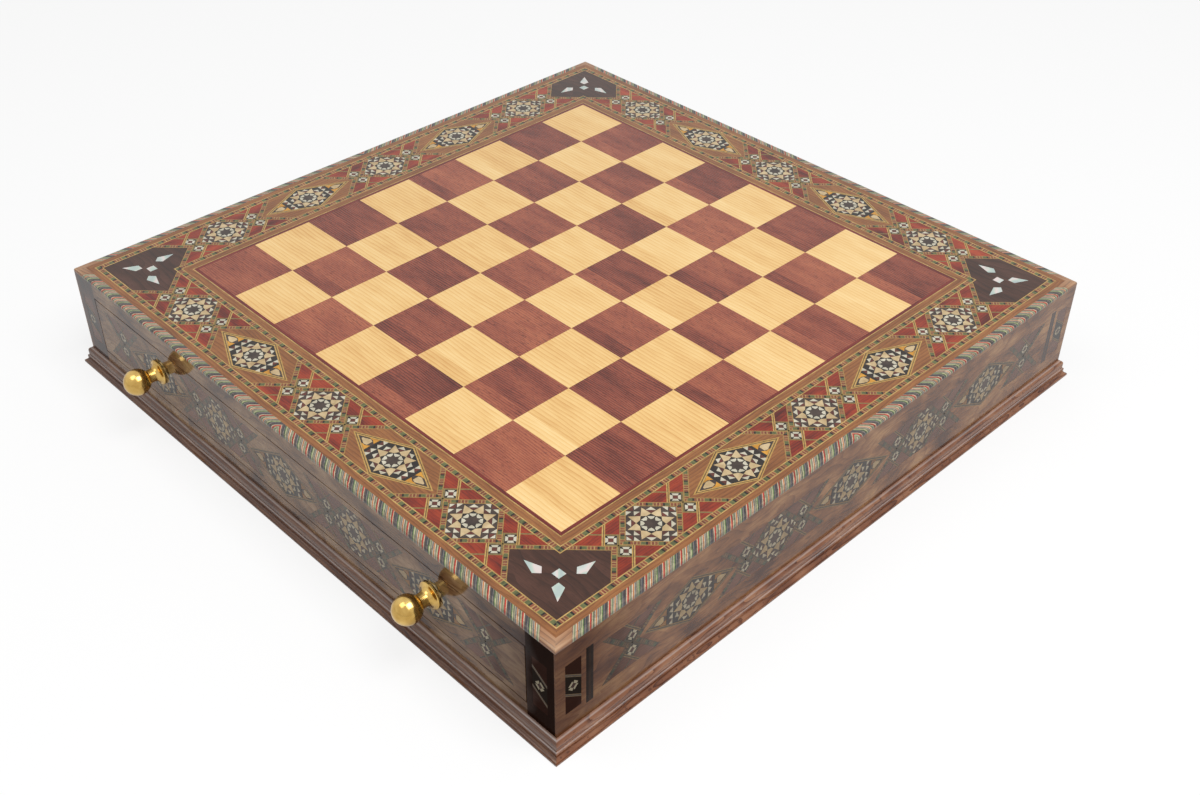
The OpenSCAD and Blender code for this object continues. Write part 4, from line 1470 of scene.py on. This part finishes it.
@dataclass(frozen=True)
class EndPanel:
    """The small upright panel near each end of a wall, and the upright line beside it."""

    width: float = 10.0 * MM
    height: float = 32.5 * MM
    star_h: float = 11.4 * MM
    drop: float = 7.2 * MM
    slant_h: float = 1.8 * MM
    inset: float = 10.8 * MM
    line_w: float = 4.6 * MM
    line_h: float = 37.0 * MM
    line_inset: float = 21.1 * MM

    def slanting(self, low: float, high: float) -> list[tuple[float, float]]:
        """Corners of a slanting piece across the panel.

        Args:
            low: Where its lower edge is on the panel's middle line.
            high: Where its upper edge is there.

        Returns:
            The corners.
        """
        side, fall = self.width / 2, self.drop / 2
        return [(-side, low + fall), (side, low - fall), (side, high - fall), (-side, high + fall)]

    def star(self, tiling: Tiling, at: Matrix, band: StarBand) -> None:
        """Lays the piece with the small star.

        Args:
            tiling: Where the pieces are laid.
            at: The panel's middle.
            band: What draws the star.
        """
        band.small_star(tiling, at, self.slanting(-self.star_h / 2, self.star_h / 2))

    def lines(self, tiling: Tiling, at: Matrix) -> None:
        """Lays the two slanting lines.

        Args:
            tiling: Where the pieces are laid.
            at: The panel's middle.
        """
        corners = self.slanting(self.star_h / 2, self.star_h / 2 + self.slant_h)
        for turn in (0, 180):
            tiling.piece(spun(at, turn), corners, Stuff.GOLD_LINE, 0, PLAIN_LAY)

    def padauk(self, tiling: Tiling, at: Matrix) -> None:
        """Lays the padauk above and below.

        Args:
            tiling: Where the pieces are laid.
            at: The panel's middle.
        """
        corners = self.slanting(self.star_h / 2 + self.slant_h, 0.0)
        corners[2:] = [(self.width / 2, self.height / 2), (-self.width / 2, self.height / 2)]
        for turn in (0, 180):
            tiling.piece(spun(at, turn), corners, Stuff.PADAUK, 2)

    def upright(self, tiling: Tiling, at: Matrix) -> None:
        """Lays the upright line.

        Args:
            tiling: Where the piece is laid.
            at: The line's middle.
        """
        a, b = self.line_w / 2, self.line_h / 2
        lay = [(0, 0), (0, 1), (0.04, 1), (0.04, 0)]
        tiling.piece(at, [(-a, -b), (a, -b), (a, b), (-a, b)], Stuff.WALL_LINE, 0, lay)


@dataclass
class Marquetry:
    """The marquetry of the board, the walls and the drawer fronts."""

    plan: BandPlan = field(default_factory=BandPlan)
    panel: EndPanel = field(default_factory=EndPanel)
    thickness: float = 0.9 * MM

    def __post_init__(self) -> None:
        """Finds the heights and half width of the box from its solids."""
        self.band = StarBand(self.plan)
        self.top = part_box("light_squares")[1].z
        self.half_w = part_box("side_veneers")[1].x
        low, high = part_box("side_slanting_strips")
        self.side_row = (low.z + high.z) / 2
        low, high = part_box("front_drawer_strips")
        self.drawer_row = (low.z + high.z) / 2

    def turned(self, place: Matrix, *quarters: int) -> list[Matrix]:
        """Copies of a place, turned round the box.

        Args:
            place: The place on the front.
            quarters: How many quarter turns each copy has.

        Returns:
            The copies.
        """
        return [spun(Matrix(), 90 * q) @ place for q in quarters]

    def on_top(self) -> Matrix:
        """The plane of the star band along the front of the board."""
        return Matrix.Translation((0, -self.plan.middle, self.top))

    def on_front(self, height: float) -> Matrix:
        """The plane of the front face.

        Args:
            height: The height of the band's middle.

        Returns:
            The plane.
        """
        return Matrix.Translation((0, -self.half_w, height)) @ Matrix.Rotation(math.radians(90), 4, "X")

    def rosettes(self, squares: list[float], lozenges: list[float], pairs: list[float]) -> Tiling:
        """Lays the stars of one run.

        Args:
            squares: Middles of the star squares.
            lozenges: Middles of the lozenges.
            pairs: Middles of the pairs.

        Returns:
            The tiling.
        """
        tiling = Tiling(self.thickness)
        for u in squares:
            self.band.star_square(tiling, at_u(u))
        for u in lozenges:
            self.band.lozenge(tiling, at_u(u))
        for u in pairs:
            self.band.pair(tiling, at_u(u))
        return tiling

    def strips(self, squares: list[float], lozenges: list[float], close: float) -> Tiling:
        """Lays the slanting strips of one run.

        Args:
            squares: Middles of the star squares.
            lozenges: Middles of the lozenges.
            close: Where the closing strips start.

        Returns:
            The tiling.
        """
        tiling = Tiling(self.thickness)
        for u in squares:
            self.band.arms(tiling, at_u(u), self.plan.square_end)
        for u in lozenges:
            self.band.arms(tiling, at_u(u), self.plan.lozenge_end)
        self.band.closing_arms(tiling, close)
        return tiling

    def lines(
        self, tiling: Tiling, lozenges: list[float], pairs: list[float], gold_leans: int
    ) -> Tiling:
        """Lays the thin lines of one run.

        Args:
            tiling: Where the pieces are laid.
            lozenges: Middles of the lozenges.
            pairs: Middles of the pairs.
            gold_leans: Which way the double lines lean.

        Returns:
            The tiling.
        """
        for u in pairs:
            self.band.pair_lines(tiling, at_u(u), gold_leans)
        for u in lozenges:
            self.band.lozenge_lines(tiling, at_u(u))
        return tiling

    def padauk(self, pairs: list[float]) -> Tiling:
        """Lays the padauk of one run.

        Args:
            pairs: Middles of the pairs.

        Returns:
            The tiling.
        """
        tiling = Tiling(self.thickness)
        for u in pairs:
            self.band.padauk(tiling, at_u(u))
        return tiling

    def ends(self, stars: Tiling, lines: Tiling, padauk: Tiling, with_upright: bool) -> None:
        """Lays the small panels near the two ends of a wall.

        Args:
            stars: Where the small stars are laid.
            lines: Where the lines are laid.
            padauk: Where the padauk is laid.
            with_upright: True to add the upright line beside each panel.
        """
        for side in (-1, 1):
            spot = at_u(side * (self.half_w - self.panel.inset))
            self.panel.star(stars, spot, self.band)
            self.panel.lines(lines, spot)
            self.panel.padauk(padauk, spot)
            if with_upright:
                self.panel.upright(lines, at_u(side * (self.half_w - self.panel.line_inset)))

    def board(self) -> list[bpy.types.Object]:
        """Builds the marquetry of the board.

        Returns:
            The pieces.
        """
        plan, p = self.plan, self.plan.pitch
        squares, lozenges = [-2 * p, 0.0, 2 * p], [-p, p]
        sides = self.turned(self.on_top(), 0, 1, 2, 3)
        stars = self.rosettes(squares, lozenges, plan.top_pairs).template()
        strips = self.strips(squares, lozenges, plan.last_pair + plan.web).template()
        padauk = self.padauk(plan.top_pairs).template()
        falling, rising = (
            self.lines(Tiling(self.thickness), lozenges, plan.top_pairs, leans).template()
            for leans in (-1, 1)
        )
        board = Palette.BOARD
        return [
            stamp(Laid("board_rosettes", "carcass", board, "bone", ("top_star_tiles", "top_bone_stars")),
                  (stars, sides)),
            stamp(Laid("board_strips", "carcass", board, "mosaic", ("top_slanting_strips",)),
                  (strips, sides)),
            stamp(Laid("board_padauk", "carcass", board, "padauk", ("top_padauk",)), (padauk, sides)),
            stamp(Laid("board_lines", "carcass", board, "gold_line", ("top_star_lines",)),
                  (falling, sides[0::2]), (rising, sides[1::2])),
        ]

    def walls(self) -> list[bpy.types.Object]:
        """Builds the marquetry of the side walls and the stiles.

        Returns:
            The pieces.
        """
        plan, p = self.plan, self.plan.pitch
        squares, lozenges = [-p, p], [-2 * p, 0.0, 2 * p]
        sides = self.turned(self.on_front(self.side_row), 1, 3)
        stiles = self.turned(self.on_front(self.drawer_row), 0, 2)
        stars = self.rosettes(squares, lozenges, plan.row_pairs)
        strips = self.strips(squares, lozenges, 2 * p + plan.far_pair + plan.web).template()
        lines = self.lines(Tiling(self.thickness), lozenges, plan.row_pairs, -1)
        padauk = self.padauk(plan.row_pairs)
        self.ends(stars, lines, padauk, True)
        end_stars, end_lines, end_padauk = (Tiling(self.thickness) for _ in range(3))
        self.ends(end_stars, end_lines, end_padauk, False)
        wall = Palette.WALL
        return [
            stamp(Laid("wall_rosettes", "carcass", wall, "bone", ("side_star_tiles", "side_bone_stars")),
                  (stars.template(), sides), (end_stars.template(), stiles)),
            stamp(Laid("wall_strips", "carcass", wall, "mosaic", ("side_slanting_strips",)),
                  (strips, sides)),
            stamp(Laid("wall_padauk", "carcass", wall, "padauk", ("side_padauk",)),
                  (padauk.template(), sides), (end_padauk.template(), stiles)),
            stamp(Laid("wall_lines", "carcass", wall, "gold_line", ("side_lines",)),
                  (lines.template(), sides), (end_lines.template(), stiles)),
        ]

    def drawer(self, end: str, quarters: int) -> list[bpy.types.Object]:
        """Builds the marquetry of one drawer front.

        Args:
            end: "front" or "back".
            quarters: How many quarter turns its place has from the front.

        Returns:
            The pieces.
        """
        plan, p = self.plan, self.plan.pitch
        squares, lozenges = [-p, p], [-2 * p, 0.0, 2 * p]
        place = self.turned(self.on_front(self.drawer_row), quarters)
        body, wall = f"{end}_drawer", Palette.WALL
        rosettes = (f"{body}_star_tiles", f"{body}_bone_stars")
        stars = self.rosettes(squares, lozenges, plan.row_pairs).template()
        strips = self.strips(squares, lozenges, 2 * p + plan.far_pair + plan.web)
        strips = self.lines(strips, lozenges, plan.row_pairs, -1).template()
        padauk = self.padauk(plan.row_pairs).template()
        return [
            stamp(Laid(f"{end}_rosettes", body, wall, "bone", rosettes), (stars, place)),
            stamp(Laid(f"{end}_strips", body, wall, "mosaic", (f"{body}_strips",)), (strips, place)),
            stamp(Laid(f"{end}_padauk", body, wall, "padauk", (f"{body}_padauk",)), (padauk, place)),
        ]

    def build(self) -> list[bpy.types.Object]:
        """Builds every piece of marquetry that has more in it than its solid."""
        return self.board() + self.walls() + self.drawer("front", 0) + self.drawer("back", 2)


# ---------------------------------------------------------------- solids' finishes


@dataclass
class Finishes:
    """The finishes of the solids that show as they are."""

    square: float = 40.0 * MM
    edge_half: float = field(default_factory=lambda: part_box("top_walnut")[1].x)
    top: float = field(default_factory=lambda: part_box("light_squares")[1].z)

    def board(self) -> None:
        """Dresses the playing field and the borders."""
        dress(
            Wood("maple_squares", "CA9654", "E4BC7A", "F0D298", ring=2.5 * MM, wander=0.7, lines=0.3,
                 figure=0.28, pores=0.05, cell=self.square, cell_change=0.2),
            "light_squares",
        )
        dress(
            Wood("padauk_squares", "3E120E", "8C4634", "AE6647", ring=1.5 * MM, wander=1.2, lines=0.42,
                 figure=0.36, pores=0.6, cell=self.square, cell_change=0.34),
            "dark_squares",
        )
        dress(Wood("red_line", "4A120E", "6C2018", "812E20", Run.ROUND, figure=0.3), "field_red_line")
        dress(
            Wood("walnut_bands", "5A341C", "86542D", "A46E3D", Run.ROUND, ring=2.2 * MM, wander=1.4,
                 lines=0.3, figure=0.4, pores=0.4),
            "top_walnut",
        )
        dress(
            Wood("corner_walnut", "26130C", "402417", "58362A", ring=5 * MM, wander=2.0, lines=0.25,
                 figure=0.5, pores=0.4),
            "top_corner_panels",
        )
        dress(Piece("pale_lines", "8E6E38", "C9A765", 900.0), "top_pale_lines")
        dress(Shell("mother_of_pearl"), "top_pearl")
        dress(Sticks("ring_sticks", STICK_ORDER, 8.4 * MM), "top_mosaic_strips")
        # the edging and its corner pieces carry the rounded edge's painted highlight and shade
        dress(
            Sticks("edge_sticks", EDGE_ORDER, 11.8 * MM, slanting=True, edge_half=self.edge_half,
                   top=self.top),
            "striped_edging",
        )
        dress(
            Wood("edge_corner_wood", "5E3A26", "926444", "AE805C", Run.ROUND, ring=2.4 * MM, figure=0.3,
                 pores=0.3, top=self.top),
            "edge_corners",
        )

    def carcass(self) -> None:
        """Dresses the walls, rails, foot and inner parts."""
        burl = {
            "ring": 6 * MM, "wander": 3.2, "lines": 0.22, "figure": 0.45, "clouds": 0.8, "pores": 0.4,
        }
        dress(
            Wood("wall_walnut", "3E1F10", "744A2A", "987048", Run.ALONG_Y, **burl, corner_shade=0.65),
            "side_veneers",
        )
        # The front and back rails and drawer veneers take the wall walnut in a greyer tint: painted
        # reflection haze on the front.
        dress(
            Wood("front_walnut", "321B11", "6C4E34", "8E7254", Run.ALONG_X, **burl, corner_shade=0.65),
            "top_rails", "bottom_rails", "front_drawer_veneer", "back_drawer_veneer",
        )
        # The stiles take the wall walnut painted much darker: painted shade and dark reflection at the
        # near corner.
        dress(
            Wood("stile_walnut", "180A05", "3A2014", "523222", Run.UPRIGHT, **burl, corner_shade=0.95),
            "corner_stiles",
        )
        # The foot carries painted highlight lines along its ridges and painted shade on its front and
        # back sides.
        dress(
            Wood("rosewood_foot", "441F10", "7C4E34", "A27658", Run.ROUND, ring=2.2 * MM, wander=2.0,
                 lines=0.4, figure=0.6, pores=0.6, highlight_heights=(10.9 * MM, 5.5 * MM), front_back_shade=0.5),
            "base_moulding",
        )
        beech = {
            "ring": 4 * MM, "wander": 1.0, "lines": 0.25, "figure": 0.3, "pores": 0.3, "glossy": False,
        }
        along_x = Wood("beech_x", "9C7446", "C29B69", "D6B485", Run.ALONG_X, **beech)
        along_y = Wood("beech_y", "9C7446", "C29B69", "D6B485", Run.ALONG_Y, **beech)
        darker = Wood("drawer_front_wood", "5E3C20", "855B35", "9E764B", Run.ALONG_X, **beech)
        dress(along_x, "top_core", "partition", "bottom_board", "drawer_stops")
        dress(along_y, "side_walls", "drawer_runners", "drawer_guides", "drawer_kickers")
        dress(Cloth("green_baize", "0F2A1A", "1C4229", 0.3), "base_baize")
        velvet = Cloth("red_velvet", "4A0612", "7C1022")
        for end in ("front", "back"):
            dress(darker, f"{end}_drawer_face")
            dress(along_x, f"{end}_drawer_back", f"{end}_drawer_bottom")
            dress(along_y, f"{end}_drawer_sides")
            dress(velvet, f"{end}_drawer_lining", f"{end}_drawer_dividers")
            dress(Metal("zinc_screws", "A8A8A4", "7E7E7A", 0.3), f"{end}_drawer_screws")

    def build(self) -> None:
        """Dresses every solid that shows as it is."""
        self.board()
        self.carcass()


# ---------------------------------------------------------------- knobs


@dataclass
class Knobs:
    """The turned ball knobs of one drawer."""

    end: str
    ball_r: float = 7.9 * MM
    ball_out: float = 14.5 * MM
    neck_r: float = 4.0 * MM
    plate_r: float = 7.7 * MM
    rim: float = 1.4 * MM
    bevel: float = 0.3 * MM
    flare_steps: int = 9
    ball_steps: int = 24
    turn_steps: int = 64
    weld: float = 0.001 * MM
    sharp: float = 38.0

    def profile(self) -> list[tuple[float, float]]:
        """The knob's half section from the drawer front to the ball's pole.

        Returns:
            Pairs of radius and distance from the face.
        """
        flare = self.plate_r - self.neck_r
        points = [(0.0, 0.0), (self.plate_r - self.bevel, 0.0), (self.plate_r, self.bevel)]
        points += [(self.plate_r, self.rim - self.bevel), (self.plate_r - self.bevel, self.rim)]
        for k in range(1, self.flare_steps):
            turn = math.pi / 2 * (1 - k / self.flare_steps)
            points.append(
                (self.plate_r - flare * math.cos(turn), self.rim + flare - flare * math.sin(turn))
            )
        start = math.asin(self.neck_r / self.ball_r)
        for k in range(self.ball_steps + 1):
            turn = start + (math.pi - start) * k / self.ball_steps
            points.append((self.ball_r * math.sin(turn), self.ball_out - self.ball_r * math.cos(turn)))
        return points

    def build(self) -> bpy.types.Object:
        """Turns both knobs of the drawer.

        Returns:
            The piece.
        """
        node = f"{self.end}_drawer_knobs"
        low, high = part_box(node)
        out = -1.0 if self.end == "front" else 1.0
        face = high.y if self.end == "front" else low.y
        height = (low.z + high.z) / 2
        bm = bmesh.new()
        for x in (low.x + self.ball_r, high.x - self.ball_r):
            centre = Vector((x, face, height))
            verts = [bm.verts.new(centre + Vector((r, out * d, 0))) for r, d in self.profile()]
            edges = [bm.edges.new(pair) for pair in zip(verts, verts[1:])]
            bmesh.ops.spin(bm, geom=verts + edges, cent=centre, axis=(0, 1, 0), angle=2 * math.pi,
                           steps=self.turn_steps, use_merge=True)
        bmesh.ops.remove_doubles(bm, verts=bm.verts, dist=self.weld)
        bmesh.ops.recalc_face_normals(bm, faces=bm.faces)
        mesh = bpy.data.meshes.new(f"{self.end}_knobs")
        bm.to_mesh(mesh)
        bm.free()
        mesh.shade_smooth()
        mesh.set_sharp_from_angle(angle=math.radians(self.sharp))
        mesh.materials.append(finish(Metal("polished_brass", "DEBC72", "A67F3C", 0.15)))
        return settle(bpy.data.objects.new(mesh.name, mesh), f"{self.end}_drawer", "brass", node)


# ---------------------------------------------------------------- studio


@dataclass
class Studio:
    """Floor, light and camera."""

    camera_at: tuple = (0.53350, -0.50226, 0.54162)
    looks_at: tuple = (0.09758, -0.07344, 0.07000)
    roll: float = 0.519
    lens: float = 43.33
    sensor: float = 36.0
    clip: float = 0.01
    floor_size: float = 14.0
    floor_glow: float = 0.75
    dim_sky: float = 0.45
    lamps_aim: tuple = (0.0, 0.0, 0.05)

    def floor(self) -> bpy.types.Object:
        """Lays a pale floor that shows white and keeps the object's shadow.

        Returns:
            The floor.
        """
        bm = bmesh.new()
        bmesh.ops.create_grid(bm, x_segments=1, y_segments=1, size=self.floor_size / 2)
        mesh = bpy.data.meshes.new("floor")
        bm.to_mesh(mesh)
        bm.free()
        shop = Shop("pale_floor")
        lit = shop.add("ShaderNodeBsdfDiffuse", values={"Color": tint("F2F2F2")})
        glow = shop.add("ShaderNodeEmission", values={"Color": tint("FFFFFF"), "Strength": 1.0})
        path = shop.add("ShaderNodeLightPath")
        share = Val(shop, path.outputs["Is Camera Ray"]) * self.floor_glow
        mixed = shop.add("ShaderNodeMixShader", values={0: share, 1: lit.outputs[0], 2: glow.outputs[0]})
        shop.add("ShaderNodeOutputMaterial", values={"Surface": mixed.outputs[0]})
        mesh.materials.append(shop.material)
        floor = bpy.data.objects.new("floor", mesh)
        bpy.context.scene.collection.objects.link(floor)
        return floor

    def world(self) -> None:
        """Sets a plain grey sky that the camera and polished surfaces see as white."""
        world = bpy.data.worlds.new("studio")
        bpy.context.scene.world = world
        shop = Shop("studio", world)
        path = shop.add("ShaderNodeLightPath")
        camera, glossy = (Val(shop, path.outputs[f"Is {kind} Ray"]) for kind in ("Camera", "Glossy"))
        strength = self.dim_sky + camera.at_least(glossy) * (1.0 - self.dim_sky)
        sky = shop.add("ShaderNodeBackground", values={"Color": tint("FFFFFF"), "Strength": strength})
        shop.add("ShaderNodeOutputWorld", values={"Surface": sky.outputs[0]})

    def lamp(self, name: str, at: tuple, size: float, watts: float) -> None:
        """Hangs one soft lamp that points at the box.

        Args:
            name: The lamp's name.
            at: Where it hangs.
            size: The side of its square.
            watts: Its power.
        """
        light = bpy.data.lights.new(name, "AREA")
        light.shape, light.size, light.energy = "SQUARE", size, watts
        lamp = bpy.data.objects.new(name, light)
        lamp.location = at
        lamp.rotation_euler = (Vector(self.lamps_aim) - Vector(at)).to_track_quat("-Z", "Y").to_euler()
        bpy.context.scene.collection.objects.link(lamp)

    def camera(self) -> None:
        """Sets the camera at the photograph's place and angle."""
        data = bpy.data.cameras.new("camera")
        data.lens, data.sensor_width, data.clip_start = self.lens, self.sensor, self.clip
        camera = bpy.data.objects.new("camera", data)
        camera.location = self.camera_at
        way = Vector(self.looks_at) - Vector(self.camera_at)
        turn = way.to_track_quat("-Z", "Y") @ Quaternion((0, 0, 1), math.radians(self.roll))
        camera.rotation_euler = turn.to_euler()
        bpy.context.scene.collection.objects.link(camera)
        bpy.context.scene.camera = camera

    def build(self) -> None:
        """Builds the whole studio."""
        bpy.context.scene.view_settings.view_transform = "Standard"
        self.camera()
        self.floor()
        self.world()
        self.lamp("key", (0.75, -0.05, 1.45), 1.0, 18.0)
        self.lamp("fill", (-0.25, -0.9, 1.5), 0.9, 5.5)


def main() -> None:
    """Builds the studio, the marquetry, the finishes and the knobs."""
    logging.basicConfig(level=logging.INFO, format="%(name)s: %(message)s")
    Studio().build()
    for piece in Marquetry().build():
        LOG.info("%s: %d faces", piece.name, len(piece.data.polygons))
    Finishes().build()
    for end in ("front", "back"):
        piece = Knobs(end).build()
        LOG.info("%s: %d faces", piece.name, len(piece.data.polygons))


if __name__ == "__main__":
    main()
